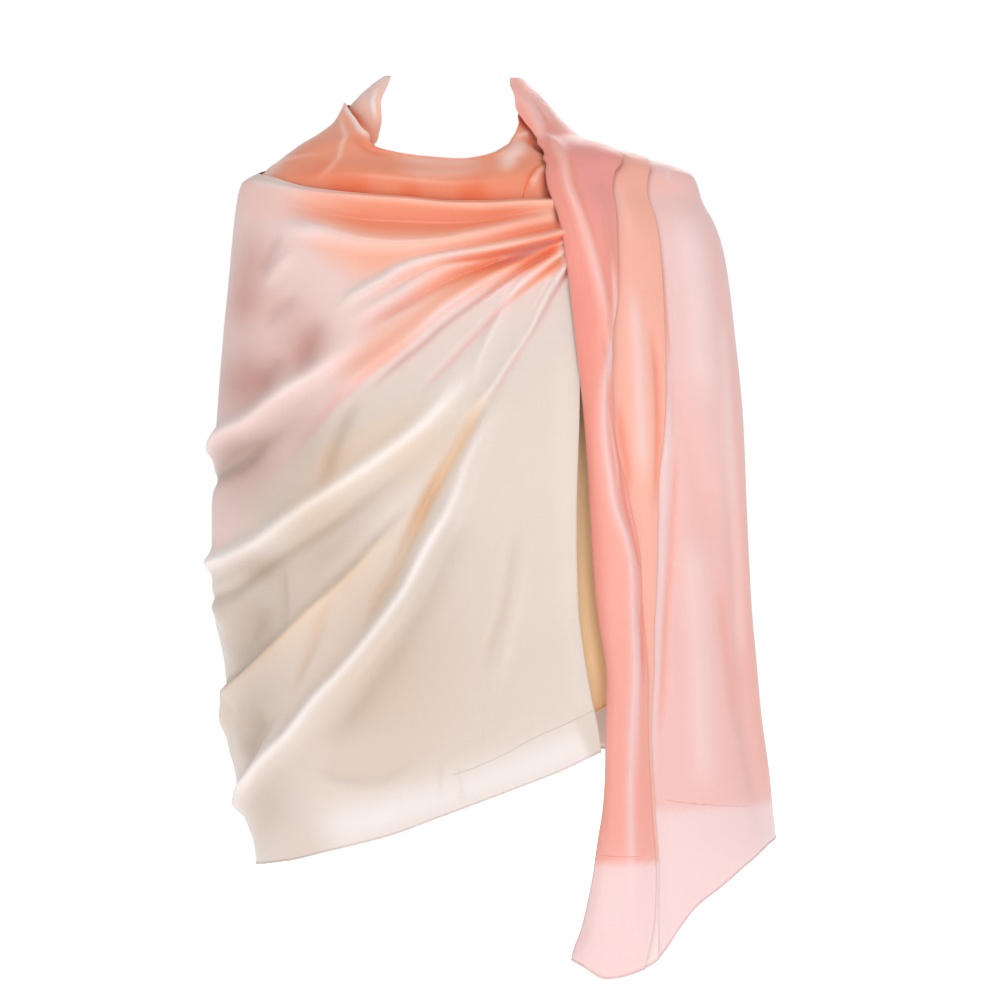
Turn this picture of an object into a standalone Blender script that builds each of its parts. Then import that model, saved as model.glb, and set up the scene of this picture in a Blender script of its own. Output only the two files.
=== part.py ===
"""A long silk scarf worn as a wrap, as one thin cloth wall for each stretch of it that shows.

The cloth hangs on rings round a general figure. A place on it is a turn and a height: the turn is the angle
round the body in degrees, 0 at the front, -90 at the left of the view and 90 at the right, and the height
is in millimetres above the base of the neck. Folds and overlaps move the cloth out from the rings.
"""

import math

import bmesh
import bpy
import numpy as np

MM = 0.001
WALL = 1.2
NARROWEST_FOLD = 11.0
NORMAL_STEP_TURN = 0.6
NORMAL_STEP_HEIGHT = 2.0

# Turns where the back of the cloth meets the front and the falling end
LEFT_SEAM = -118.0
RIGHT_SEAM = 122.0
SEAM_TURN = 0.25
NECK_SEAM_TURN = 0.6
FULL_TURN = 360.0

# Half size of a level round the chest, which turns a turn into a length along the cloth
CHEST_HALF_WIDTH = 258.0
CHEST_HALF_DEPTH = 135.0

# Distances of the cloth from the neck's axis, a row for each level
RING_COLUMNS = ("height", "left", "right", "front", "back")
RINGS = (
    (-800, 185, 318, 148, 130),
    (-660, 192, 318, 148, 128),
    (-600, 208, 313, 147, 125),
    (-520, 219, 301, 144, 120),
    (-470, 222, 296, 141, 116),
    (-410, 234, 290, 136, 111),
    (-320, 235, 285, 134, 106),
    (-230, 230, 281, 138, 111),
    (-140, 223, 272, 135, 115),
    (-90, 218, 266, 128, 112),
    (-45, 214, 258, 119, 106),
    (-15, 210, 244, 106, 99),
    (0, 206, 240, 98, 95),
    (8, 196, 236, 92, 91),
    (16, 182, 222, 85, 86),
    (24, 168, 190, 80, 82),
    (30, 157, 154, 77, 80),
    (36, 146, 128, 75, 79),
    (45, 130, 114, 71, 76),
    (60, 114, 98, 65, 70),
    (80, 105, 81, 59, 64),
    (90, 96, 70, 56, 60),
    (100, 86, 61, 53, 56),
    (110, 76, 53, 50, 52),
)

# Edges that run round the body, as a height at each turn
EDGE_COLUMNS = ("turn", "height")
FRONT_HEM = (
    (-118, -655), (-88, -663), (-60, -654), (-42, -640), (-26, -624), (-14, -606), (-4, -590), (4, -577),
    (12, -564), (20, -549), (26, -538),
)
FRONT_TOP = (
    (-118, 20), (-104, 18), (-88, 13), (-60, 4), (-42, -9), (-26, -16), (-14, -20), (-4, -24), (4, -24),
    (12, -22), (20, -21), (34, -20),
)
COWL_TOP = (
    (-118, 80), (-78, 78), (-66, 72), (-54, 61), (-43, 50), (-34, 42), (-26, 29), (-19, 23), (-11, 19),
    (-3, 17), (4, 20), (13, 26), (20, 30), (28, 35), (33, 41.5), (38.5, 50), (44, 59), (46.5, 64), (52, 70),
)
COWL_BOTTOM = (
    (-118, 23), (-104, 21), (-92, 10), (-80, 3), (-60, -5), (-42, -17), (-26, -24), (-14, -28), (-4, -32),
    (4, -32), (12, -30), (20, -29), (38, -24), (46, -18),
)
NECK_EDGE = (
    (-114, 88), (-90, 99), (-70, 105), (-60, 108), (-50, 107), (-43, 95), (-39, 76), (-34, 52), (-30, 40),
)
NECK_FOOT = ((-114, 56), (-90, 60), (-66, 54), (-54, 42), (-43, 32), (-34, 24), (-30, 20))
ROLL_TOP = ((16, 97), (62, 98), (90, 95), (105, 89), (122, 80))
BACK_TOP = ((-238, 80), (-222, 54), (-208, 38), (-180, 26), (-152, 38), (-136, 58), (-118, 86))
BACK_HEM = (
    (-238, -645), (-222, -590), (-208, -560), (-196, -562), (-180, -584), (-160, -612), (-140, -638),
    (-118, -655),
)
FALL_HEM = (
    (10, -736), (13, -744), (18, -756), (25, -752), (30, -744), (33, -733), (37, -713), (42, -693),
    (49, -678), (61, -656), (76, -640), (90, -637), (122, -645),
)
INNER_TOP = ((-24, -90), (60, -90))
INNER_HEM = (
    (-24, -572), (-10, -563), (-4, -555), (4, -542), (12, -527), (20, -513), (28, -499), (60, -470),
)

# Edges that run down the body, as a turn at each height
SIDE_COLUMNS = ("height", "turn")
FRONT_EDGE = (
    (-560, 22), (-525, 22), (-497, 21.2), (-460, 20.5), (-366, 20.8), (-290, 21.4), (-215, 22.2),
    (-149, 23.2), (-118, 24), (-100, 28), (-60, 30), (-20, 31),
)
ROLL_LEFT = (
    (-756, 11), (-740, 11), (-709, 13.3), (-671, 15.5), (-643, 17), (-595, 20.5), (-540, 23), (-460, 25),
    (-380, 24.4), (-300, 24), (-230, 23), (-170, 22), (-110, 21), (-60, 20), (0, 19), (14, 19), (20, 22),
    (27, 28), (36, 40.5), (46, 42.5), (56, 42.5), (66, 43), (74, 46), (82, 49.5), (91, 54.5), (98, 61),
)
ROLL_RIGHT = (
    (-756, 27), (-700, 30), (-620, 31), (-540, 33), (-460, 35), (-380, 36), (-300, 33), (-230, 30),
    (-170, 30), (-110, 33), (-60, 34), (-25, 36), (0, 38), (20, 48), (27, 62), (36, 88), (44, 106),
    (52, 118), (58, 121), (104, 121),
)
MIDDLE_RIGHT = (
    (-756, 31), (-700, 31), (-620, 32), (-540, 34), (-460, 37), (-380, 40), (-300, 41.5), (-230, 44),
    (-170, 45.5), (-110, 46.5), (-25, 48), (0, 50), (14, 55), (21, 66), (30, 88), (37, 104), (45, 116),
    (50, 120.6), (60, 120.6),
)

# Folds of the front that sweep from the gather at the right to the arm at the left: the crest's height at
# each turn of SWEEP_TURNS, the turns where the fold fades out, how far it rises, and its width above and
# below the crest
SWEEP_TURNS = (-112, -88, -60, -42, -26, -14, -4, 4, 12, 20)
SWEEP_COLUMNS = ("heights", "left end", "right end", "rise", "above", "below")
SWEEPS = {
    "neck roll": ((14, 8, -1, -14, -21, -25, -29, -29, -27, -26), -116, 25, 8, 9, 10),
    "under neck roll": ((0, -6, -24, -40, -51, -54, -50, -44, -37, -35), -90, 24, -5, 9, 9),
    "collar bone ridge": ((-18, -24, -36, -51, -62, -65, -61, -54, -45, -42), -98, 24, 8, 12, 14),
    "short ridge": ((-190, -170, -150, -130, -104, -86, -78, -71, -65, -57), -34, 24, 5, 8, 6),
    "short valley": ((-230, -210, -190, -165, -143, -118, -97, -87, -74, -63), -32, 24, -5, 9, 10),
    "coral edge": ((-420, -390, -330, -258, -197, -156, -125, -102, -81, -65), -50, 25, 8, 22, 7),
    "arm ridge": ((-285, -265, -223, -196, -167, -140, -125, -102, -81, -65), -132, -20, 10, 18, 10),
    "arm valley": ((-308, -290, -246, -222, -200, -180, -160, -140, -120, -100), -130, -36, -6, 13, 12),
    "elbow dimple": ((-200, -198, -186, -170, -150, -140, -130, -120, -110, -100), -100, -36, -4, 16, 16),
    "cream ridge": ((-368, -362, -350, -314, -251, -214, -171, -136, -100, -72), -132, 25, 8, 10, 12),
    "cream valley": ((-420, -400, -380, -340, -290, -240, -199, -159, -117, -81), -16, 24, -4, 6, 8),
    "broad ridge": ((-375, -370, -358, -328, -274, -232, -188, -154, -120, -90), -66, 8, 5, 13, 14),
    "chest ridge": ((-700, -600, -500, -420, -340, -300, -240, -186, -138, -94), -6, 25, 5, 7, 7),
    "chest valley": ((-760, -700, -600, -500, -430, -340, -255, -201, -150, -110), -24, 8, -5, 10, 10),
    "long ridge": ((-610, -598, -558, -506, -441, -375, -289, -216, -150, -110), -126, 9, 9, 18, 17),
    "long valley": ((-700, -640, -590, -531, -474, -417, -348, -275, -190, -130), -50, 7, -4, 17, 17),
    "lower edge": ((-510, -500, -464, -424, -374, -321, -270, -216, -150, -110), -126, -10, 8, 7, 20),
    "lower hollow": ((-462, -456, -430, -398, -350, -300, -240, -180, -120, -90), -126, -36, -7, 18, 16),
    "hem edge": ((-612, -597, -545, -499, -460, -420, -380, -340, -300, -260), -122, -38, 6, 7, 15),
    "hem hollow": ((-560, -548, -515, -476, -440, -400, -360, -320, -280, -240), -122, -42, -5, 15, 12),
    "forearm ridge": ((-412, -405, -395, -380, -360, -340, -320, -300, -280, -260), -132, -56, 6, 13, 12),
    "wrist ridge": ((-532, -525, -500, -480, -460, -440, -420, -400, -380, -360), -130, -66, 6, 12, 13),
    "panel valley": ((-900, -850, -800, -760, -700, -600, -493, -404, -300, -200), -16, 8, -3, 15, 15),
}
SWEEP_FADE_LEFT = 14.0
SWEEP_FADE_RIGHT = 5.0
GATHER_TURN = 24.0
GATHER_SPREAD = 46.0
GATHER_WIDTH = 0.42

# Folds that hang down: the turn of the crest at the top, the middle and the foot, the heights where it
# fades out, how far it rises, and its width in degrees
HANG_COLUMNS = ("top turn", "middle turn", "foot turn", "top", "foot", "rise", "width")
HANG_TOP = 20.0
HANG_MIDDLE = -310.0
HANG_FOOT = -720.0
ROLL_FOLDS = (
    (30, 28, 25, 60, -760, 6, 3.2),
    (36, 30, 29, -160, -520, -4, 2.4),
)
MIDDLE_FOLDS = (
    (46, 37, 29, -200, -720, -1.2, 2.2),
    (52, 43, 33, 30, -460, 3, 2.6),
)
OUTER_FOLDS = (
    (60, 47, 36, 10, -760, 5, 2.6),
    (80, 72, 66, -260, -640, -3, 4.0),
    (90, 84, 78, 0, -640, 4, 7.0),
    (106, 102, 98, -20, -640, -4, 6.0),
)
BACK_FOLDS = (
    (-220, -219, -222, -40, -760, 7, 7.0),
    (-206, -210, -213, -180, -760, -5, 6.0),
    (-193, -199, -202, -110, -760, 8, 9.0),
    (-180, -186, -189, -300, -760, -4, 5.5),
    (-170, -174, -176, -230, -760, 5, 7.0),
    (-158, -160, -158, -60, -760, 7, 8.5),
    (-146, -147, -148, -260, -760, -5, 6.0),
    (-134, -136, -134, -20, -760, 6, 7.5),
)
HANG_FADE = 90.0

# Soft swags across the back between the shoulders
SWAG_COLUMNS = ("middle height", "shoulder height", "rise", "width")
SWAGS = (
    (-28, 24, 5, 15),
    (-66, 0, -4, 15),
    (-104, -26, 6, 20),
    (-165, -70, 4, 24),
)
SWAG_HALF_TURN = 56.0

# How far each stretch stands out from the rings, and how far it runs on under the stretch that covers it
COWL_END = 52.0
COWL_TUCK = 5.0
COWL_SWELL = 9.0
COWL_LIP = 4.0
COWL_SEAM_RUN = 20.0
COWL_UNDER_ROLL = 9.0
COWL_UNDER_ROLL_TOP = 2.5
COWL_UNDER_ROLL_FROM = 25.0
COWL_UNDER_ROLL_RUN = 25.0
UNDER_ROLL_LEAD = 2.0
UNDER_ROLL_RUN = 6.0
NECK_LEFT = -114.0
NECK_RIGHT = -30.0
NECK_SEAM_LIFT = -1.7
NECK_LIFT = -7.0
NECK_RUN = 30.0
ROLL_LIFT = 9.5
ROLL_NECK_LIFT = 7.0
ROLL_CROWN = 5.0
ROLL_NECK_CROWN = 2.0
ROLL_NECK_FROM = 10.0
ROLL_NECK_RUN = 30.0
ROLL_LEFT_DROP = 1.5
ROLL_LEFT_RUN = 0.2
ROLL_RIGHT_LIFT = 5.4
ROLL_RIGHT_NECK_LIFT = 7.0
ROLL_RIGHT_FROM = 0.6
GATHER_HEIGHT = -50.0
GATHER_LIFT = 5.0
GATHER_REACH = 90.0
BACK_TURN = 84.0
BACK_RUN = 34.0
BACK_LOW_SHARE = 0.25
BACK_HIGH_FROM = 66.0
BACK_HIGH_RUN = 14.0
MIDDLE_TOP = 60.0
MIDDLE_LIFT = 3.0
MIDDLE_CROWN = 1.6
MIDDLE_TUCK = 22.0
MIDDLE_TUCK_FROM = 10.0
MIDDLE_TUCK_RUN = 20.0
OUTER_TOP = 46.0
OUTER_LIFT = 1.1
OUTER_SHOULDER_LIFT = -1.5
OUTER_TUCK = 18.0
OUTER_TUCK_RUN = 26.0
LOW_TUCK = 5.0
CLEAR_RUN = 4.0
INNER_LEFT = -24.0
INNER_RIGHT = 60.0
INNER_LIFT = -11.0
INNER_RIGHT_LIFT = -1.9
INNER_RIGHT_FROM = 46.0
INNER_RIGHT_RUN = 12.0
INNER_WAVE = 1.5
INNER_WAVE_RATE = 9.0
SHOULDER_FROM = -120.0
SHOULDER_RUN = 60.0

# Each stretch: the quads of its grid, how much closer its rows lie at the top, and its colour and roughness
STRETCH_COLUMNS = ("name", "quads across", "quads up", "closer at the top", "colour", "roughness")
STRETCHES = (
    ("front_drape", 38, 34, 1.1, (0.86, 0.76, 0.66), 0.42),
    ("cowl", 30, 6, 1.0, (0.90, 0.56, 0.46), 0.40),
    ("neck_stretch", 14, 5, 1.0, (0.90, 0.58, 0.48), 0.40),
    ("roll", 9, 38, 1.6, (0.85, 0.50, 0.46), 0.40),
    ("middle_fall", 8, 32, 1.7, (0.93, 0.60, 0.50), 0.40),
    ("outer_fall", 15, 30, 1.6, (0.92, 0.66, 0.60), 0.42),
    ("inner_stretch", 9, 12, 1.0, (0.82, 0.64, 0.42), 0.45),
    ("back_drape", 28, 24, 1.55, (0.88, 0.66, 0.58), 0.42),
)


def column(table, columns, name):
    """One named column of a table, as an array."""
    place = columns.index(name)
    return np.array([row[place] for row in table], dtype=float)


def named_rows(table, columns):
    """The rows of a table, each as a lookup by column name."""
    return [dict(zip(columns, row)) for row in table]


def mix(first, second, share):
    return first + (second - first) * share


def ease(value):
    """0 to 1 with level ends."""
    value = np.clip(value, 0.0, 1.0)
    return value * value * (3.0 - 2.0 * value)


def smooth_line(stations, values, at):
    """A smooth line through the values, which never swings past them and stays level past both ends."""
    stations = np.asarray(stations, dtype=float)
    values = np.asarray(values, dtype=float)
    rates = np.diff(values) / np.diff(stations)
    before = rates[:-1]
    after = rates[1:]
    total = np.where(before + after == 0.0, 1.0, before + after)
    inner = np.where(before * after > 0.0, 2.0 * before * after / total, 0.0)
    slopes = np.concatenate(([rates[0]], inner, [rates[-1]]))
    at = np.clip(at, stations[0], stations[-1])
    low = np.clip(np.searchsorted(stations, at) - 1, 0, len(stations) - 2)
    step = stations[low + 1] - stations[low]
    part = (at - stations[low]) / step
    back = part - 1.0
    return (
        values[low] * (1.0 + 2.0 * part) * back * back
        + slopes[low] * step * part * back * back
        + values[low + 1] * part * part * (3.0 - 2.0 * part)
        + slopes[low + 1] * step * part * part * back
    )


def edge_height(table, turn):
    return smooth_line(column(table, EDGE_COLUMNS, "turn"), column(table, EDGE_COLUMNS, "height"), turn)


def edge_turn(table, height):
    return smooth_line(column(table, SIDE_COLUMNS, "height"), column(table, SIDE_COLUMNS, "turn"), height)


def ring_point(turn, height):
    """The place on the rings at a turn and a height."""
    levels = column(RINGS, RING_COLUMNS, "height")
    left, right, front, back = (
        smooth_line(levels, column(RINGS, RING_COLUMNS, name), height) for name in RING_COLUMNS[1:]
    )
    angle = np.radians(turn)
    forward = np.cos(angle)
    depth = np.where(forward > 0.0, front, back)
    across = (right - left) / 2.0 + (right + left) / 2.0 * np.sin(angle)
    return np.stack((across, -depth * forward, height + 0.0 * turn), axis=-1)


def outward(turn, height):
    """The direction straight out of the rings."""
    around = ring_point(turn + NORMAL_STEP_TURN, height) - ring_point(turn - NORMAL_STEP_TURN, height)
    upward = ring_point(turn, height + NORMAL_STEP_HEIGHT) - ring_point(turn, height - NORMAL_STEP_HEIGHT)
    normal = np.cross(around, upward)
    return normal / np.linalg.norm(normal, axis=-1, keepdims=True)


def bump(distance, above, below):
    """A soft ridge of height 1, with its own width on each side."""
    width = np.where(distance > 0.0, above, below)
    return np.exp(-((distance / width) ** 2))


def sweep_lift(turn, height):
    """How far the folds of the front stand out at a place."""
    angle = np.radians(turn)
    per_radian = np.hypot(CHEST_HALF_WIDTH * np.cos(angle), CHEST_HALF_DEPTH * np.sin(angle))
    per_degree = math.radians(1.0) * per_radian
    spread = mix(GATHER_WIDTH, 1.0, ease((GATHER_TURN - turn) / GATHER_SPREAD))
    total = 0.0 * turn
    for fold in named_rows(SWEEPS.values(), SWEEP_COLUMNS):
        crest = smooth_line(SWEEP_TURNS, fold["heights"], turn)
        before = smooth_line(SWEEP_TURNS, fold["heights"], turn - 1.0)
        after = smooth_line(SWEEP_TURNS, fold["heights"], turn + 1.0)
        slope = (after - before) / (2.0 * per_degree)
        distance = (height - crest) / np.hypot(1.0, slope)
        fade_left = ease((turn - fold["left end"]) / SWEEP_FADE_LEFT)
        fade_right = ease((fold["right end"] - turn) / SWEEP_FADE_RIGHT)
        upper = np.maximum(fold["above"] * spread, NARROWEST_FOLD)
        lower = np.maximum(fold["below"] * spread, NARROWEST_FOLD)
        total = total + fold["rise"] * fade_left * fade_right * bump(distance, upper, lower)
    return total


def hang_lift(folds, turn, height):
    """How far the folds that hang down stand out at a place."""
    total = 0.0 * turn
    for fold in named_rows(folds, HANG_COLUMNS):
        turns = (fold["foot turn"], fold["middle turn"], fold["top turn"])
        crest = smooth_line((HANG_FOOT, HANG_MIDDLE, HANG_TOP), turns, height)
        fade = ease((fold["top"] - height) / HANG_FADE) * ease((height - fold["foot"]) / HANG_FADE)
        total = total + fold["rise"] * fade * bump(turn - crest, fold["width"], fold["width"])
    return total


def swag_lift(turn, height):
    """How far the swags across the back stand out at a place."""
    to_shoulder = np.abs(turn + FULL_TURN / 2.0) / SWAG_HALF_TURN
    total = 0.0 * turn
    for swag in named_rows(SWAGS, SWAG_COLUMNS):
        crest = mix(swag["middle height"], swag["shoulder height"], to_shoulder ** 2)
        swell = bump(height - crest, swag["width"], swag["width"])
        total = total + swag["rise"] * (1.0 - ease(to_shoulder)) * swell
    return total


def between_edges(across, up, left, right, top, bottom):
    """Turns and heights that fill the space between two side edges, a top edge and a bottom edge."""
    height = mix(bottom(0.0 * across), top(0.0 * across), up)
    for _ in range(6):
        turn = mix(left(height), right(height), across)
        height = mix(bottom(turn), top(turn), up)
    return turn, height


def side(table):
    return lambda height: edge_turn(table, height)


def level(table):
    return lambda turn: edge_height(table, turn)


def fixed(value):
    return lambda other: value + 0.0 * other


def on_cloth(turn, height, lift):
    return ring_point(turn, height) + outward(turn, height) * lift[..., None]


def front_drape(across, up):
    """The front, from the arm at the left to its free edge below the gather."""
    seam = fixed(LEFT_SEAM + SEAM_TURN)
    turn, height = between_edges(across, up, seam, side(FRONT_EDGE), level(FRONT_TOP), level(FRONT_HEM))
    return on_cloth(turn, height, sweep_lift(turn, height))


def cowl(across, up):
    """The soft neck edge, tucked in behind the top roll of the front."""
    seam = fixed(LEFT_SEAM + NECK_SEAM_TURN)
    turn, height = between_edges(across, up, seam, fixed(COWL_END), level(COWL_TOP), level(COWL_BOTTOM))
    crown = COWL_SWELL * ease(up / 0.5) - COWL_LIP * ease((up - 0.5) / 0.5) - COWL_TUCK
    under_roll = ease((turn - edge_turn(ROLL_LEFT, height) + UNDER_ROLL_LEAD) / UNDER_ROLL_RUN)
    up_the_neck = ease((height - COWL_UNDER_ROLL_FROM) / COWL_UNDER_ROLL_RUN)
    dip = mix(COWL_UNDER_ROLL, COWL_UNDER_ROLL_TOP, up_the_neck) * under_roll
    lift = crown * ease((turn - LEFT_SEAM) / COWL_SEAM_RUN) - dip
    return on_cloth(turn, height, lift)


def neck_stretch(across, up):
    """The cloth against the side of the neck, just inside the cowl."""
    left = fixed(NECK_LEFT)
    turn, height = between_edges(across, up, left, fixed(NECK_RIGHT), level(NECK_EDGE), level(NECK_FOOT))
    lift = mix(NECK_SEAM_LIFT, NECK_LIFT, ease((turn - NECK_LEFT) / NECK_RUN))
    return on_cloth(turn, height, lift)


def roll(across, up):
    """The rolled inner edge of the falling end, from the side of the neck to its tip."""
    edges = (side(ROLL_LEFT), side(ROLL_RIGHT), level(ROLL_TOP), level(FALL_HEM))
    turn, height = between_edges(across, up, *edges)
    at_neck = ease((height - ROLL_NECK_FROM) / ROLL_NECK_RUN)
    over_gather = GATHER_LIFT * (1.0 - ease(np.abs(height - GATHER_HEIGHT) / GATHER_REACH))
    left_lift = mix(ROLL_LIFT, ROLL_NECK_LIFT, at_neck) + over_gather
    right_lift = mix(ROLL_RIGHT_LIFT, ROLL_RIGHT_NECK_LIFT, ease((height - SHOULDER_FROM) / SHOULDER_RUN))
    base = mix(left_lift, right_lift, ease((across - ROLL_RIGHT_FROM) / (1.0 - ROLL_RIGHT_FROM)))
    swell = mix(ROLL_CROWN, ROLL_NECK_CROWN, at_neck) * np.sin(math.pi * across)
    crown = base + swell - ROLL_LEFT_DROP * (1.0 - ease(across / ROLL_LEFT_RUN))
    down_to_seam = mix(BACK_LOW_SHARE, 1.0, ease((height - BACK_HIGH_FROM) / BACK_HIGH_RUN))
    round_back = ease((turn - BACK_TURN) / BACK_RUN) * down_to_seam
    lift = crown * (1.0 - round_back) + hang_lift(ROLL_FOLDS, turn, height)
    return on_cloth(turn, height, lift)


def middle_fall(across, up):
    """The fold between the roll and the outer fold, tucked in under the roll."""
    def left(height):
        tuck = mix(LOW_TUCK, MIDDLE_TUCK, ease((height - MIDDLE_TUCK_FROM) / MIDDLE_TUCK_RUN))
        return edge_turn(ROLL_RIGHT, height) - tuck

    turn, height = between_edges(across, up, left, side(MIDDLE_RIGHT), fixed(MIDDLE_TOP), level(FALL_HEM))
    clear_of_roll = ease((turn - edge_turn(ROLL_RIGHT, height)) / CLEAR_RUN)
    swell = MIDDLE_CROWN * np.sin(math.pi * across) + hang_lift(MIDDLE_FOLDS, turn, height)
    return on_cloth(turn, height, MIDDLE_LIFT + swell * clear_of_roll)


def outer_fall(across, up):
    """The outer fold, over the shoulder and the arm to the seam at the back."""
    def left(height):
        return edge_turn(MIDDLE_RIGHT, height) - mix(LOW_TUCK, OUTER_TUCK, ease(height / OUTER_TUCK_RUN))

    seam = fixed(RIGHT_SEAM - 2.0 * SEAM_TURN)
    turn, height = between_edges(across, up, left, seam, fixed(OUTER_TOP), level(FALL_HEM))
    clear_of_middle = ease((turn - edge_turn(MIDDLE_RIGHT, height)) / CLEAR_RUN)
    tucked = mix(OUTER_LIFT, OUTER_SHOULDER_LIFT, ease((height - SHOULDER_FROM) / SHOULDER_RUN))
    lift = mix(tucked, hang_lift(OUTER_FOLDS, turn, height), clear_of_middle)
    return on_cloth(turn, height, lift)


def inner_stretch(across, up):
    """The under layer behind the free edge of the front and the falling end."""
    left = fixed(INNER_LEFT)
    turn, height = between_edges(across, up, left, fixed(INNER_RIGHT), level(INNER_TOP), level(INNER_HEM))
    waved = INNER_LIFT + INNER_WAVE * np.sin(math.radians(INNER_WAVE_RATE) * turn)
    lift = mix(waved, INNER_RIGHT_LIFT, ease((turn - INNER_RIGHT_FROM) / INNER_RIGHT_RUN))
    return on_cloth(turn, height, lift)


def back_drape(across, up):
    """The back, from one seam round to the other."""
    right_seam = fixed(RIGHT_SEAM - FULL_TURN + SEAM_TURN)
    left_seam = fixed(LEFT_SEAM - SEAM_TURN)
    turn, height = between_edges(across, up, right_seam, left_seam, level(BACK_TOP), level(BACK_HEM))
    lift = sweep_lift(turn, height) + hang_lift(BACK_FOLDS, turn, height) + swag_lift(turn, height)
    return on_cloth(turn, height, lift)


SHAPES = {
    "front_drape": front_drape,
    "cowl": cowl,
    "neck_stretch": neck_stretch,
    "roll": roll,
    "middle_fall": middle_fall,
    "outer_fall": outer_fall,
    "inner_stretch": inner_stretch,
    "back_drape": back_drape,
}


def silk(name, colour, roughness):
    material = bpy.data.materials.new(name + "_silk")
    material.use_nodes = True
    shader = material.node_tree.nodes["Principled BSDF"]
    shader.inputs["Base Color"].default_value = (*colour, 1.0)
    shader.inputs["Roughness"].default_value = roughness
    shader.inputs["Metallic"].default_value = 0.0
    return material


def cloth_wall(stretch):
    """A grid of cloth laid on its shape, its rows closer at the top, with a wall's thickness inwards."""
    name = stretch["name"]
    grid = bmesh.new()
    bmesh.ops.create_grid(grid, x_segments=stretch["quads across"], y_segments=stretch["quads up"], size=1.0)
    flat = np.array([vertex.co for vertex in grid.verts])
    across = (flat[:, 0] + 1.0) / 2.0
    down = np.clip((1.0 - flat[:, 1]) / 2.0, 0.0, 1.0) ** stretch["closer at the top"]
    points = SHAPES[name](across, 1.0 - down) * MM
    for vertex, point in zip(grid.verts, points):
        vertex.co = point
    mesh = bpy.data.meshes.new(name)
    grid.to_mesh(mesh)
    grid.free()
    mesh.shade_smooth()
    mesh.materials.append(silk(name, stretch["colour"], stretch["roughness"]))
    piece = bpy.data.objects.new(name, mesh)
    bpy.context.collection.objects.link(piece)
    wall = piece.modifiers.new("wall", "SOLIDIFY")
    wall.thickness = WALL * MM
    wall.offset = -1.0
    return piece


def clear_scene():
    for old in list(bpy.data.objects):
        bpy.data.objects.remove(old, do_unlink=True)


def main():
    clear_scene()
    for stretch in named_rows(STRETCHES, STRETCH_COLUMNS):
        cloth_wall(stretch)


main()
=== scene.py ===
"""The looks of a long silk scarf worn as a wrap: its folds, hems, dye with painted shade and highlights, and
stage.

The cloth hangs on rings round a general figure. A place on it is a turn and a height: the turn is the angle
round the body in degrees, 0 at the front, -90 at the left of the view and 90 at the right, and the height is
in millimetres above the base of the neck. Folds and overlaps move the cloth out from the rings.
"""

import math

import bmesh
import bpy
import numpy as np
from bpy.props import FloatProperty, FloatVectorProperty, PointerProperty
from mathutils import Color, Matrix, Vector


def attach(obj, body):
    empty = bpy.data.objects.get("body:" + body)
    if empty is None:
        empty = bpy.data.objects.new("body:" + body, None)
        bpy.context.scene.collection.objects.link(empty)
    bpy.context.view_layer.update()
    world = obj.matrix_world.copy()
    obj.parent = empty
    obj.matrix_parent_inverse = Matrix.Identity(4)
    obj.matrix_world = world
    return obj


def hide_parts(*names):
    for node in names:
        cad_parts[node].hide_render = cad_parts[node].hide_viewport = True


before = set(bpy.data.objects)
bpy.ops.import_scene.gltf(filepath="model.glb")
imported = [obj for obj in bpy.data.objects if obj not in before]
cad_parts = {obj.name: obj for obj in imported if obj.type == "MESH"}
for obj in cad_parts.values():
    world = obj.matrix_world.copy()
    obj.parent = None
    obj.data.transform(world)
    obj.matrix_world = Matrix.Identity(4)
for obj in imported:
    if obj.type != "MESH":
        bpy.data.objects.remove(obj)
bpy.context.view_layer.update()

bl_info = {
    "name": "Silk scarf wrap",
    "version": (1, 0, 0),
    "blender": (4, 5, 0),
    "location": "View3D > Sidebar > Silk scarf",
    "description": "Builds a long silk scarf worn as a wrap, with its folds, rolled hems and shaded dye",
    "category": "Add Mesh",
}

MM = 0.001
FULL_TURN = 360.0
QUARTER_TURN = 90.0

# Steps over which the slope of the rings is read
NORMAL_STEP_TURN = 0.6
NORMAL_STEP_HEIGHT = 2.0

# Length of a level round the chest in metres, for the place of a turn on the flat cloth
RING_LENGTH = 1.28

# Turns where the back of the cloth meets the front and the falling end, and how far each keeps from them
LEFT_SEAM = -118.0
RIGHT_SEAM = 122.0
SEAM_TURN = 0.05

# Distances of the cloth from the neck's axis, a row for each level
RING_COLUMNS = ("height", "left", "right", "front", "back")
RINGS = (
    (-800, 185, 318, 148, 130),
    (-660, 192, 318, 148, 128),
    (-600, 208, 313, 147, 125),
    (-520, 219, 301, 144, 120),
    (-470, 222, 296, 141, 116),
    (-410, 234, 290, 136, 111),
    (-320, 235, 285, 134, 106),
    (-230, 230, 281, 138, 111),
    (-140, 223, 272, 135, 115),
    (-90, 218, 266, 128, 112),
    (-45, 214, 258, 119, 106),
    (-15, 210, 244, 106, 99),
    (0, 206, 240, 98, 95),
    (8, 196, 236, 92, 91),
    (16, 182, 222, 85, 86),
    (24, 168, 190, 80, 82),
    (30, 157, 154, 77, 80),
    (36, 146, 128, 75, 79),
    (45, 130, 114, 71, 76),
    (60, 114, 98, 65, 70),
    (80, 105, 81, 59, 64),
    (90, 96, 70, 56, 60),
    (100, 86, 61, 53, 56),
    (110, 76, 53, 50, 52),
)

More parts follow.
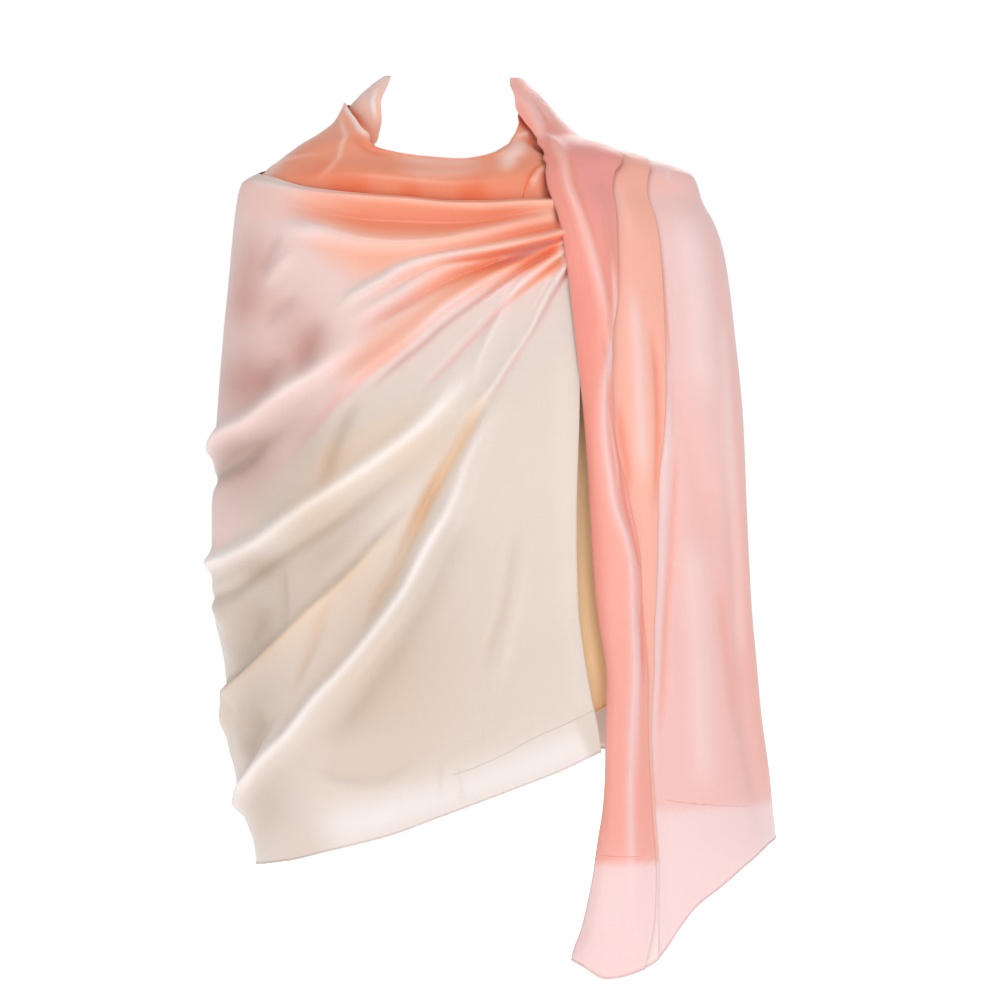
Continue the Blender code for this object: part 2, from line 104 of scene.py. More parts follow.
# Edges that run round the body, as a height at each turn
EDGE_COLUMNS = ("turn", "height")
FRONT_HEM = (
    (-118, -655), (-88, -663), (-60, -654), (-42, -640), (-26, -624), (-14, -606), (-4, -590), (4, -577),
    (12, -564), (20, -549), (26, -538),
)
FRONT_TOP = (
    (-118, 20), (-104, 18), (-88, 13), (-60, 4), (-42, -9), (-26, -16), (-14, -20), (-4, -24), (4, -24),
    (12, -22), (20, -21), (34, -20),
)
COWL_TOP = (
    (-118, 80), (-78, 78), (-66, 72), (-54, 61), (-43, 50), (-34, 42), (-26, 29), (-19, 23), (-11, 19),
    (-3, 17), (4, 20), (13, 26), (20, 30), (28, 35), (33, 41.5), (38.5, 50), (44, 59), (46.5, 64), (52, 70),
)
COWL_BOTTOM = (
    (-118, 16), (-104, 12), (-92, 4), (-80, 3), (-60, -5), (-42, -17), (-26, -24), (-14, -28), (-4, -32),
    (4, -32), (12, -30), (20, -29), (38, -24), (46, -18),
)
NECK_EDGE = (
    (-114, 88), (-90, 99), (-70, 105), (-60, 108), (-50, 107), (-43, 95), (-39, 76), (-34, 52), (-30, 40),
)
NECK_FOOT = ((-114, 56), (-90, 60), (-66, 54), (-54, 42), (-43, 32), (-34, 24), (-30, 20))
ROLL_TOP = ((16, 97), (62, 98), (90, 95), (105, 89), (122, 80))
BACK_TOP = ((-238, 80), (-222, 54), (-208, 38), (-180, 26), (-152, 38), (-136, 58), (-118, 86))
BACK_HEM = (
    (-238, -645), (-222, -590), (-208, -560), (-196, -562), (-180, -584), (-160, -612), (-140, -638),
    (-118, -655),
)
FALL_HEM = (
    (10, -736), (13, -744), (18, -756), (25, -752), (30, -744), (33, -733), (37, -713), (42, -693),
    (49, -678), (61, -656), (76, -640), (90, -637), (122, -645),
)
INNER_TOP = ((-24, -90), (60, -90))
INNER_HEM = (
    (-24, -572), (-10, -563), (-4, -555), (4, -542), (12, -527), (20, -513), (28, -499), (60, -470),
)

# Edges that run down the body, as a turn at each height
SIDE_COLUMNS = ("height", "turn")
FRONT_EDGE = (
    (-560, 22), (-525, 22), (-497, 21.2), (-460, 20.5), (-366, 20.8), (-290, 21.4), (-215, 22.2),
    (-149, 23.2), (-118, 24), (-100, 28), (-60, 30), (-20, 31),
)
ROLL_LEFT = (
    (-756, 11), (-740, 11), (-709, 13.3), (-671, 15.5), (-643, 17), (-595, 20.5), (-540, 23), (-460, 25),
    (-380, 24.4), (-300, 24), (-230, 23), (-170, 22), (-110, 21), (-60, 20), (0, 19), (14, 19), (20, 22),
    (27, 28), (36, 40.5), (46, 42.5), (56, 42.5), (66, 43), (74, 46), (82, 49.5), (91, 54.5), (98, 61),
)
ROLL_RIGHT = (
    (-756, 27), (-700, 30), (-620, 31), (-540, 33), (-460, 35), (-380, 36), (-300, 33), (-230, 30),
    (-170, 30), (-110, 33), (-60, 34), (-25, 36), (0, 38), (20, 48), (27, 62), (36, 88), (44, 106),
    (52, 118), (58, 121), (104, 121),
)
MIDDLE_RIGHT = (
    (-756, 31), (-700, 31), (-620, 32), (-540, 34), (-460, 37), (-380, 40), (-300, 41.5), (-230, 44),
    (-170, 45.5), (-110, 46.5), (-25, 48), (0, 50), (14, 55), (21, 66), (30, 88), (37, 104), (45, 116),
    (50, 120.6), (60, 120.6),
)

# How the wrap is seen from the front, which is how its folds are placed: the eye and the plane of the tables
EYE_X = 47.5
EYE_HEIGHT = -309.0
EYE_DISTANCE = 3400.0
PLANE_DISTANCE = 3300.0

# A crease in the neck edge that is a fold and a thin line in one
CURVED_CREASE = ((88, 11), (81, 5), (75, -3), (71, -12), (69, -20))

# Folds, as seen from the front: how far the fold rises, its width above and below the crest, or to the right
# and to the left where it runs down, and what it adds to the dye and to the depth of painted shade. The added
# dye is partly the silk's own dye and partly painted light, paler on lit crests and darker in hollows; a
# depth above zero paints shade into the colour and one below zero paints a highlight. Then points along the
# crest, in millimetres to the right of the neck's middle and above its base
FOLD_COLUMNS = ("rise", "above", "below", "dye", "depth", "points")
FOLDS = {
    "front_silk": {
        "neck roll": (7, 8, 8, 0, 0, (
            (-171, -4), (-124, -14), (-86, -22), (-48, -25), (-10, -28), (28, -30), (66, -27), (97, -27),
            (124, -27))),
        "neck roll light": (0.6, 5.5, 4, 0.2, 0, (
            (-214, 5), (-188, 1), (-124, -14), (-86, -22), (-48, -25), (-10, -28), (28, -30), (66, -28),
            (97, -28), (120, -28))),
        "under neck roll": (-5, 8, 8, -0.02, 0.3, (
            (-173, -20), (-152, -26), (-124, -33), (-86, -39), (-48, -41), (-10, -42), (28, -41), (66, -35),
            (101, -33))),
        "collar bone ridge": (6, 8, 9, 0.18, -0.05, (
            (-173, -42), (-152, -48), (-124, -52), (-86, -62), (-48, -65), (-10, -63), (28, -55), (66, -46),
            (106, -38))),
        "first slot": (-3, 4, 4, -0.05, 0.35, ((-48, -77), (-10, -71), (28, -64), (66, -55), (110, -48))),
        "short ridge": (6, 7, 4, 0.24, -0.1, (
            (-114, -136), (-100, -119), (-86, -110), (-66, -100), (-48, -89), (-10, -78), (28, -72),
            (66, -65), (104, -57), (122, -53))),
        "thin slot": (-3, 2.8, 2.8, -0.05, 0.75, (
            (-28, -89), (-10, -83), (28, -77), (66, -71), (104, -62), (120, -58))),
        # Painted shade in the wedge below the thin slot, with no fold under it
        "red shade wedge": (0, 5, 5, -0.02, 0.6, ((11, -91), (48, -85), (86, -74), (114, -65))),
        "little ridge": (3.5, 5, 4.5, 0.12, 0, (
            (-100, -140), (-76, -124), (-48, -110), (-19, -93), (5, -85), (48, -81))),
        "short valley": (-4.5, 5, 5, -0.05, 0.5, (
            (-93, -155), (-74, -138), (-48, -123), (-10, -102), (28, -87), (90, -70))),
        "coral edge": (7, 12, 4.5, -0.06, 0, (
            (-114, -209), (-86, -187), (-52, -163), (-28, -144), (-10, -128), (10, -115), (28, -104),
            (66, -83), (104, -65), (122, -56))),
        "coral glow": (0, 18, 6, -0.1, 0, (
            (-124, -206), (-95, -182), (-52, -151), (-10, -121), (28, -98), (66, -79))),
        "coral edge light": (0.6, 3, 2.6, 0.13, -0.05, (
            (-43, -155), (-28, -145), (-10, -129), (10, -116), (28, -105), (66, -84), (104, -66),
            (120, -58))),
        "coral edge slot": (-3, 2.8, 3.2, -0.14, 0.5, (
            (-86, -210), (-48, -176), (-28, -161), (-10, -145), (28, -117), (48, -102), (66, -90),
            (106, -67))),
        "coral band": (0, 10, 4, -0.07, 0.15, (
            (-156, -277), (-133, -244), (-114, -222), (-81, -192), (-48, -167), (-19, -148))),
        "inner ridge": (4, 4.5, 4, 0.04, -0.25, (
            (19, -209), (27, -176), (38, -152), (52, -124), (66, -105), (90, -86), (112, -71), (122, -65))),
        # Coral dye with painted shade along this crease
        "coral shade line": (-2.4, 3.6, 3.6, -0.2, 0.3, (
            (-38, -214), (-10, -187), (10, -166), (38, -138), (57, -119), (86, -96), (112, -77))),
        "chest ridge": (4.5, 4.5, 4, 0.02, -0.25, (
            (11, -242), (28, -216), (38, -204), (57, -176), (76, -148), (90, -119), (111, -87),
            (122, -75))),
        "chest line": (-2, 3, 3, -0.18, 0.35, (
            (25, -235), (43, -206), (62, -175), (81, -146), (97, -117), (118, -83))),
        "chest valley": (-5, 6, 6, 0.08, 0.2, (
            (-51, -362), (-38, -338), (-24, -309), (-10, -285), (5, -262), (19, -238), (30, -218),
            (48, -199))),
        "arm ridge": (9, 10, 8, 0.05, -0.6, (
            (-235, -258), (-223, -249), (-195, -234), (-171, -215), (-152, -201), (-133, -190),
            (-104, -168), (-66, -148))),
        "arm valley": (-5, 10, 10, 0.08, 0.6, (
            (-230, -288), (-207, -273), (-179, -252), (-152, -233), (-125, -210))),
        "elbow dimple": (-3, 12, 12, 0, 0.25, ((-156, -191), (-142, -170), (-131, -146), (-120, -125))),
        "upper arm valley": (-2.5, 9, 9, 0, 0.2, ((-183, -96), (-177, -77), (-169, -60), (-160, -49))),
        "upper arm ridge": (3, 8, 8, 0.02, -0.05, ((-183, -110), (-175, -99), (-162, -83), (-142, -68))),
        "mid arm valley": (-2.5, 9, 10, 0, 0.2, ((-184, -140), (-163, -123), (-142, -110))),
        "arm wedge": (-4, 14, 12, 0, 0.2, ((-190, -206), (-177, -187), (-158, -163))),
        # Painted brown shade in the branching hollow
        "brown shade branch": (-3.5, 6, 8, 0, 0.35, (
            (-131, -309), (-122, -284), (-112, -252), (-99, -224), (-80, -201))),
        "cream ridge": (8, 9, 8, 0, -0.75, (
            (-233, -368), (-217, -364), (-190, -352), (-163, -332), (-137, -313), (-110, -296), (-66, -266),
            (-28, -237), (5, -201), (27, -168))),
        "under cream ridge": (-4, 5, 7, 0, 0.35, (
            (-211, -394), (-190, -379), (-165, -362), (-133, -342), (-100, -320), (-62, -290),
            (-24, -258))),
        "sleeve crease": (-2.2, 3, 7, 0, 0.25, ((-161, -362), (-160, -385), (-159, -410), (-158, -431))),
        "broad ridge": (3, 12, 10, 0, -0.1, (
            (-142, -394), (-104, -362), (-71, -328), (-43, -300), (-19, -266))),
        "forearm rim": (4, 9, 7, 0, -0.3, ((-229, -387), (-228, -404), (-222, -421), (-213, -438))),
        "lower hollow": (-7, 20, 15, 0, 0.1, ((-208, -467), (-198, -442), (-186, -415), (-171, -396))),
        "lower edge": (8, 5, 16, 0.03, -0.15, (
            (-226, -510), (-215, -493), (-203, -480), (-184, -461), (-158, -437), (-131, -411),
            (-110, -393), (-88, -372), (-70, -351), (-44, -324), (-19, -298))),
        "lower edge light": (0.6, 2.6, 2.6, 0.04, -0.25, (
            (-203, -480), (-184, -461), (-158, -437), (-131, -411), (-110, -394), (-88, -373), (-70, -352),
            (-48, -328))),
        "under edge line": (-2, 4, 2.5, -0.05, 0.6, (
            (-211, -483), (-190, -463), (-162, -436), (-138, -413))),
        # Painted shade in the valley, warmed towards amber
        "yellow shaded valley": (-3, 5, 5, 0.02, 0.22, (
            (-158, -501), (-144, -467), (-131, -439), (-122, -419), (-104, -396))),
        "left valley": (-4.5, 6, 5, 0.03, 0.28, (
            (-88, -442), (-65, -393), (-54, -377), (-41, -349), (-25, -317), (-11, -290), (2, -267))),
        "long ridge": (9, 8, 9, -0.02, -0.35, (
            (-203, -594), (-190, -574), (-176, -554), (-161, -539), (-142, -515), (-124, -492),
            (-104, -472), (-86, -450), (-67, -426), (-51, -404), (-41, -389), (-25, -356), (-9, -330),
            (3, -306), (11, -280), (23, -252), (38, -225), (52, -204))),
        "long ridge light": (0.8, 4, 4, 0, -0.4, (
            (-194, -578), (-176, -554), (-161, -539), (-142, -515), (-124, -492), (-104, -472), (-86, -450),
            (-67, -426), (-51, -404), (-41, -389), (-25, -356), (-9, -330), (3, -306), (11, -280))),
        "long valley": (-3.5, 9, 12, -0.01, 0.22, (
            (-125, -545), (-100, -510), (-71, -472), (-43, -431), (-19, -391), (0, -347), (15, -309))),
        "second long ridge": (1.6, 3, 3, 0, -0.15, (
            (-108, -499), (-84, -469), (-63, -442), (-44, -417), (-25, -385))),
        # Painted shade in the hollow above the hem
        "pocket": (-1.5, 24, 5, 0, 0.14, (
            (-142, -548), (-124, -564), (-95, -573), (-66, -572), (-46, -560), (-24, -541))),
        "pocket shade": (-1, 18, 18, 0, 0.12, ((-114, -542), (-86, -510), (-55, -470), (-28, -432))),
        "hem edge": (5, 4, 12, 0, -0.4, (
            (-203, -591), (-199, -581), (-184, -553), (-171, -529), (-158, -505))),
        "hem hollow": (-6, 14, 12, 0, 0.15, ((-198, -554), (-190, -526), (-177, -499))),
        "hem rim": (3, 7, 7, 0, -0.3, ((-218, -501), (-219, -522), (-215, -545), (-207, -567))),
        "hem shade": (-1.5, 14, 16, -0.03, 0.3, ((-188, -628), (-173, -605), (-158, -581))),
        # Painted light along the band above the hem, with no fold under it
        "hem light band": (0, 22, 26, -0.02, -0.5, (
            (-142, -626), (-95, -619), (-38, -600), (19, -581), (76, -562), (133, -539))),
        "panel valley": (-2, 5, 5, 0.01, 0.16, (
            (27, -484), (39, -439), (48, -415), (52, -396), (56, -372), (59, -351), (63, -318))),
        "panel ridge": (1.6, 6, 6, 0, -0.1, ((40, -490), (55, -442), (65, -400), (70, -355))),
        "edge glow": (0, 10, 10, 0, -0.1, (
            (110, -148), (110, -233), (111, -328), (112, -404), (119, -461), (129, -518))),
        "hem crease left": (-1, 2.5, 2.5, 0, 0.12, ((-13, -594), (-10, -571), (-11, -548))),
        "hem crease right": (-1, 2.5, 2.5, 0, 0.15, ((8, -600), (9, -577), (6, -556))),
    },
    "cowl_silk": {
        "cowl shade left": (0, 12, 12, 0.02, 0.25, ((-142, -9), (-114, -1), (-93, 14))),
        # Painted orange shade in the groove behind the top roll of the front, with no fold under it
        "orange shade left": (0, 14, 11, 0, 0.55, ((-125, -14), (-99, -14), (-68, -8))),
        "orange shade middle": (0, 11, 10, 0, 0.4, ((-51, -21), (-38, -16), (-25, -11))),
        "orange shade right": (0, 14, 11, 0, 0.5, ((2, -24), (19, -18), (40, -9))),
        # Painted shade along the bottom of the neck edge, under the roll of the front
        "shade band under the roll": (0, 9, 6, 0, 0.45, (
            (-152, -13), (-124, -17), (-95, -21), (-48, -23), (0, -26), (48, -25), (91, -22))),
        "collar fold": (2.6, 3.6, 3.6, 0.22, -0.5, (
            (-100, 71), (-95, 60), (-89, 51), (-83, 42), (-76, 37), (-69, 31))),
        "collar trough": (-1.2, 4, 4, -0.06, 0.35, ((-93, 40), (-84, 30), (-72, 23), (-57, 17))),
        "collar crease": (1.4, 2.4, 3, 0.14, -0.1, (
            (-104, 63), (-102, 47), (-100, 33), (-103, 21), (-111, 7), (-124, -3), (-135, -9))),
        "shoulder crease": (1.2, 2.2, 2.6, 0.14, -0.1, (
            (-179, 9), (-162, 13), (-142, 16), (-122, 18), (-103, 24))),
        # Painted light on the top of the shoulder, paler mauve, and painted coral shade below it
        "shoulder mauve light": (0, 16, 16, 0.16, -0.3, ((-179, 3), (-150, 24), (-122, 37), (-106, 50))),
        "shoulder coral shade": (0, 8, 7, -0.08, 0.3, ((-154, -1), (-131, 3), (-112, 14))),
        "front light": (0.6, 7, 8, 0.09, -0.15, ((-62, 17), (-38, 14), (-10, 12), (19, 12), (40, 16))),
        "front glow": (0, 9, 9, 0.03, -0.2, ((-63, 4), (-28, 0), (10, 0), (48, 8))),
        "right light": (1.5, 10, 7, 0.16, -0.35, ((45, -3), (57, 16), (66, 30), (72, 37))),
        "layer top": (1, 1.8, 2.2, 0.2, -0.1, ((61, 36), (68, 39), (77, 40))),
        # Painted deep shade in the pocket and the slots beside the falling end
        "pocket": (0, 6, 6, -0.12, 0.9, ((66, 59), (69, 50), (74, 43))),
        "upper slot": (-1.5, 3, 4, -0.1, 0.9, ((80, 39), (83, 27), (86, 12))),
        "lower slot": (-1.5, 6, 8, -0.12, 0.95, ((94, 6), (97, -5), (93, -16))),
        "curved crease": (-0.8, 2.6, 2.2, 0, 0.5, CURVED_CREASE),
        "crease light": (0.8, 3, 3, 0.16, -0.1, ((92, 8), (86, 3), (80, -6), (76, -16))),
    },
    "neck_silk_stretch": {
        "bright stripe": (0.8, 2.4, 2.8, 0.26, -0.3, ((-69, 90), (-72, 79), (-73, 66), (-71, 52))),
        # Painted shade in the pocket beside the neck
        "pocket in shade": (-0.8, 4, 5, -0.12, 0.9, ((-95, 60), (-86, 53), (-76, 45), (-68, 39))),
        "soft left": (0, 7, 6, 0.1, 0.1, ((-93, 73), (-86, 79), (-78, 82))),
    },
    "roll_silk": {
        "lit crest": (3.4, 6.5, 6.5, 0.1, 0, (
            (59, 88), (68, 76), (81, 63), (90, 44), (95, 31), (104, 16), (112, -14), (124, -43), (131, -67),
            (141, -100), (148, -128), (156, -152), (156, -166), (150, -190), (146, -214), (147, -242),
            (152, -280), (157, -314), (163, -330), (175, -366), (175, -423), (176, -461), (174, -499),
            (171, -575), (170, -613), (171, -689))),
        "upper light": (0.4, 5, 6, 0.2, 0, (
            (61, 84), (70, 74), (82, 62), (90, 44), (96, 30), (105, 14), (113, -14), (124, -43), (132, -67),
            (142, -100), (149, -128), (155, -152))),
        "lit line": (0.5, 3.4, 3.6, 0.17, 0, (
            (148, -130), (154, -149), (155, -166), (150, -187), (146, -214), (147, -242), (152, -280),
            (157, -314), (163, -330), (175, -368), (176, -423), (176, -499), (173, -575), (172, -670))),
        "neck shade": (0, 6, 7, -0.02, 0.7, ((73, 54), (80, 37), (86, 18), (91, -1))),
        "neck mauve": (0, 4, 3, 0.14, 0, ((75, 80), (86, 69), (97, 54), (106, 39))),
        "mauve layer": (0, 20, 12, -0.14, 0.12, ((110, 37), (124, 18), (135, -9), (142, -38), (148, -76))),
        "mauve low": (-0.5, 6, 5, -0.06, 0, ((145, -83), (151, -108), (156, -130))),
        # Coral dye with painted shade down the left side of the roll
        "coral shaded side": (-1.2, 8, 9, -0.06, 0.3, (
            (120, -72), (126, -110), (130, -148), (131, -214), (133, -252), (137, -300), (141, -347),
            (143, -404), (145, -480), (145, -556))),
        "lip": (1, 4, 2.8, 0.28, -0.15, (
            (154, -62), (158, -90), (161, -119), (161, -148), (154, -181), (150, -209))),
        # Painted highlight on the pink edge of the roll
        "lit pink edge": (1.2, 2, 2, 0.22, -0.1, (
            (150, -211), (156, -242), (161, -271), (162, -285), (161, -304))),
        "inner trough": (-2.6, 3.6, 3.4, -0.08, 0.25, (
            (153, -214), (161, -244), (166, -273), (169, -301), (180, -347), (189, -385), (188, -442),
            (185, -499))),
        "low light": (1, 3, 3, 0.1, 0, ((180, -404), (181, -461), (180, -518), (179, -584))),
        "tip light": (0.6, 8, 8, 0.05, -0.1, ((146, -651), (152, -689), (160, -727))),
    },
    "middle_silk": {
        "light band": (2, 8, 8, 0.13, -0.08, (
            (169, -90), (175, -128), (179, -166), (181, -214), (183, -262), (185, -304))),
        "left trough": (-1.5, 4.2, 4.2, -0.12, 0.28, ((160, -206), (163, -242), (169, -280), (171, -314))),
        "right trough": (-2, 4.4, 4, -0.1, 0.25, (
            (192, -138), (197, -186), (199, -233), (198, -280), (196, -328))),
        "top light": (0.8, 8, 8, 0.06, 0, ((142, 0), (160, -14), (169, -43), (175, -72))),
    },
    "outer_silk": {
        # Painted shade along the edge of the pleat
        "thin dark shade line": (-1.4, 2, 2, -0.16, 0.6, (
            (199, -58), (201, -81), (204, -119), (207, -157), (208, -191))),
        "thin bright ridge": (2.6, 3.6, 3.2, 0.14, -0.1, (
            (207, -200), (207, -233), (205, -271), (203, -309), (201, -347), (200, -385), (197, -442),
            (194, -499), (191, -556), (189, -594), (188, -642))),
        "ridge shade": (-1.2, 4, 4, -0.1, 0.2, (
            (217, -242), (214, -309), (209, -385), (204, -461), (200, -537))),
        # Painted light on this pale fold and on the pale low fold below
        "pale lit fold": (2.2, 20, 16, 0.05, -0.25, (
            (220, -20), (228, -57), (235, -110), (239, -162), (245, -224))),
        "coral patch": (-1.8, 18, 17, -0.05, 0, (
            (209, -166), (218, -214), (232, -266), (243, -314), (255, -366))),
        "pale lit low fold": (2, 16, 12, 0.03, -0.25, (
            (226, -328), (232, -385), (236, -442), (239, -518), (243, -594))),
        "right glow": (0, 9, 12, 0.03, -0.3, ((258, -119), (266, -233), (274, -366), (279, -480))),
        "low hollow": (-1.8, 9, 9, -0.08, 0.1, ((258, -366), (264, -442), (274, -537))),
        "shoulder peach": (0, 9, 9, -0.06, 0, ((180, -16), (201, -9), (222, -14))),
        "shoulder line": (0.8, 2, 2, 0.1, -0.1, ((203, 13), (207, 1), (210, -16))),
        "shoulder hump": (1, 5, 5, 0.1, -0.1, ((190, 6), (200, 12), (209, 6))),
        "outline shade": (0, 16, 18, -0.08, 0, (
            (247, -38), (254, -90), (262, -152), (269, -214), (275, -328), (282, -442), (294, -537),
            (304, -613))),
    },
}

# How far each stretch stands out from the rings where its folds are seen, in millimetres
STAND_OFF = {
    "front_silk": 3.0,
    "cowl_silk": 0.0,
    "neck_silk_stretch": -6.0,
    "roll_silk": 13.0,
    "middle_silk": 4.0,
    "outer_silk": 1.0,
    "back_silk": 3.0,
}
CREST_STEPS = 28
STEEP_SLOPE = 2.0

# Rounds of the search for the place of a point as it is seen, and how near it may come to the outline, as a
# share of the half width there
SEEN_ROUNDS = 12
OUTLINE_SHARE = 0.995

# Rounds of the search for a place between four edges
EDGE_ROUNDS = 6

# The rings below the shoulders are evened out up and down, as steps of the softening and their shares
RING_SOFTENING = 16.0
RING_SOFT_BELOW = -18.0
RING_SOFT_RUN = 30.0
RING_SOFT_STEPS = ((-1.0, 0.12), (-0.5, 0.23), (0.0, 0.3), (0.5, 0.23), (1.0, 0.12))

# How far a fold is felt, in widths of it, and how long its ends fade, in millimetres and as a share of it
FOLD_REACH = 3.0
FADE_LENGTH = 50.0
FADE_SHARE = 0.35

# Folds that run in under the falling end at the gather keep their height to the end
GATHERED_STRETCHES = ("front_silk", "back_silk")
GATHER_ACROSS = 105.0
GATHER_FADE = 10.0

# A fold that reaches the outline of the arm runs on round it
ARM_OUTLINE_TURN = -60.0
ROUND_ARM_TURN = -152.0
ROUND_ARM_SLOPE = 2.0
ROUND_ARM_LIMIT = 30.0

# Folds of the back and the side that hang down: the crest's turn at each height of DROP_HEIGHTS, the heights
# where the fold fades out, how far it rises, and its width in degrees to the left and to the right
DROP_HEIGHTS = (-700, -540, -380, -230, -110, -25, 36)
DROP_COLUMNS = ("turns", "top", "foot", "rise", "left", "right")
DROPS = {
    "outer_silk": {
        "arm pleat": ((66, 67, 71, 73, 76, 78, 88), -260, -640, -3, 4.0, 4.0),
        "side pleat": ((78, 79, 83, 86, 88, 90, 94), 0, -640, 4, 7.0, 6.0),
        "side hollow": ((90, 91, 93, 95, 96, 97, 99), -80, -640, -2.5, 4.0, 4.0),
        "back pleat": ((104, 104, 105, 106, 107, 107, 108), -20, -640, 3, 5.0, 5.0),
    },
    "back_silk": {
        "right pleat": ((-222, -220, -219, -219, -220, -220, -220), -40, -760, 7, 6.0, 5.0),
        "right hollow": ((-213, -211, -210, -209, -207, -206, -206), -180, -760, -5, 5.0, 5.0),
        "main pleat": ((-202, -200, -199, -198, -195, -193, -193), -110, -760, 8, 6.5, 9.0),
        "thin hollow": ((-189, -187, -186, -185, -183, -181, -180), -300, -760, -4, 5.0, 4.0),
        "middle pleat": ((-176, -175, -174, -173, -171, -170, -170), -230, -760, 5, 5.0, 6.0),
        "left pleat": ((-158, -159, -160, -160, -159, -158, -158), -60, -760, 7, 8.0, 6.5),
        "left hollow": ((-148, -147, -147, -147, -146, -146, -146), -260, -760, -5, 5.0, 5.0),
        "seam pleat": ((-134, -135, -136, -136, -135, -134, -134), -20, -760, 6, 6.5, 6.0),
    },
}
DROP_FADE = 90.0
# Painted shade in the hollows of the hanging folds, for each millimetre they sink
SHADE_OF_HOLLOW = 0.06

# Soft swags across the back between the shoulders
SWAG_COLUMNS = ("middle height", "shoulder height", "rise", "width")
SWAGS = (
    (-28, 24, 5, 13),
    (-66, 0, -4, 13),
    (-104, -26, 6, 17),
    (-165, -70, 4, 22),
)
SWAG_HALF_TURN = 56.0

# How far each stretch stands out from the rings, and how far it runs on under the stretch that covers it
NECK_SEAM_TURN = 0.6
COWL_END = 52.0
COWL_TUCK = 5.0
COWL_MIDDLE = 0.5
COWL_SWELL = 9.0
COWL_LIP = 4.0
COWL_SEAM_RUN = 20.0
COWL_UNDER_ROLL = 9.0
COWL_UNDER_ROLL_TOP = 2.5
COWL_UNDER_ROLL_FROM = 25.0
COWL_UNDER_ROLL_RUN = 25.0
UNDER_ROLL_LEAD = 2.0
UNDER_ROLL_RUN = 6.0
NECK_LEFT = -114.0
NECK_RIGHT = -30.0
NECK_SEAM_LIFT = -1.7
NECK_LIFT = -7.0
NECK_RUN = 30.0
ROLL_LIFT = 9.5
ROLL_NECK_LIFT = 7.0
ROLL_CROWN = 5.0
ROLL_NECK_CROWN = 2.0
ROLL_NECK_FROM = 10.0
ROLL_NECK_RUN = 30.0
ROLL_LEFT_DROP = 1.5
ROLL_LEFT_RUN = 0.2
ROLL_RIGHT_LIFT = 5.4
ROLL_RIGHT_NECK_LIFT = 7.0
ROLL_RIGHT_FROM = 0.6
GATHER_HEIGHT = -50.0
GATHER_LIFT = 5.0
GATHER_REACH = 90.0
BACK_TURN = 84.0
BACK_RUN = 34.0
BACK_LOW_SHARE = 0.25
BACK_HIGH_FROM = 66.0
BACK_HIGH_RUN = 14.0
MIDDLE_TOP = 60.0
MIDDLE_LIFT = 3.0
MIDDLE_CROWN = 1.6
MIDDLE_TUCK = 22.0
MIDDLE_TUCK_FROM = 10.0
MIDDLE_TUCK_RUN = 20.0
OUTER_TOP = 46.0
OUTER_LIFT = 1.1
OUTER_SHOULDER_LIFT = -1.5
OUTER_TUCK = 18.0
OUTER_TUCK_RUN = 26.0
LOW_TUCK = 5.0
CLEAR_RUN = 4.0
INNER_LEFT = -24.0
INNER_RIGHT = 60.0
INNER_LIFT = -11.0
INNER_RIGHT_LIFT = -1.9
INNER_RIGHT_FROM = 46.0
INNER_RIGHT_RUN = 12.0
INNER_WAVE = 1.5
INNER_WAVE_RATE = 9.0
SHOULDER_FROM = -120.0
SHOULDER_RUN = 60.0
TOP_EDGE_LIFT = -1.0
TOP_EDGE_RUN = 7.0
ROLL_CURL = 5.0
ROLL_CURL_RUN = 0.14

# Each stretch of silk: the solid it stands for, its finish, the quads of its grid, how much closer its rows
# lie at the top and its columns at the right, and the size it was cut to before it was draped, in metres
STRETCH_COLUMNS = (
    "name", "solid", "slot", "quads across", "quads up", "closer at the top", "closer at the right", "cut",
)
STRETCHES = (
    ("front_silk", "front_drape", "front_silk", 210, 222, 1.45, 1.3, (0.60, 0.62)),
    ("cowl_silk", "cowl", "neck_silk", 220, 44, 1.0, 1.3, (0.46, 0.10)),
    ("neck_silk_stretch", "neck_stretch", "neck_silk", 60, 34, 1.0, 1.0, (0.10, 0.06)),
    ("roll_silk", "roll", "fall_silk", 48, 240, 1.6, 1.0, (0.062, 0.90)),
    ("middle_silk", "middle_fall", "fall_silk", 40, 200, 1.6, 1.0, (0.07, 0.80)),
    ("outer_silk", "outer_fall", "fall_silk", 120, 200, 1.6, 1.0, (0.29, 0.72)),
    ("inner_silk", "inner_stretch", "inner_silk", 50, 70, 1.0, 1.0, (0.33, 0.44)),
    ("back_silk", "back_drape", "back_silk", 130, 140, 1.5, 1.0, (0.47, 0.68)),
)

# Rolled hems: the stretch, which side of it is hemmed, and the number of steps along it
HEM_COLUMNS = ("name", "stretch", "side", "steps")
HEMS = (
    ("front_hem", "front_silk", "bottom", 300),
    ("front_edge_hem", "front_silk", "right", 260),
    ("cowl_edge_hem", "cowl_silk", "top", 240),
    ("roll_hem", "roll_silk", "bottom", 60),
    ("middle_hem", "middle_silk", "bottom", 50),
    ("outer_hem", "outer_silk", "bottom", 160),
    ("inner_hem", "inner_silk", "bottom", 120),
    ("back_hem", "back_silk", "bottom", 220),
)
HEM_STEPS_ROUND = 8

# Points of a hem closer than its radius divided by this are one point
HEM_MERGE = 50.0

# Thin lines on the silk, as a sharp crease or the hem of the layer underneath: the stretch they lie on, how
# deep the painted shade on them is, and points along them as seen from the front
LINE_COLUMNS = ("name", "stretch", "depth", "points")
LINES = (
    ("neck_crease_line", "cowl_silk", 0.9, CURVED_CREASE),
    ("under_hem_line", "front_silk", 0.3, (
        (2, -570), (23, -563), (52, -550), (82, -534), (114, -520), (137, -509),
    )),
    ("tail_hem_line", "roll_silk", 0.3, ((146, -647), (158, -648), (171, -648), (182, -648))),
    ("fall_hem_line", "outer_silk", 0.3, ((207, -594), (228, -597), (256, -599), (283, -600))),
)
LINE_STEPS = 90
LINE_RADIUS_SHARE = 0.5
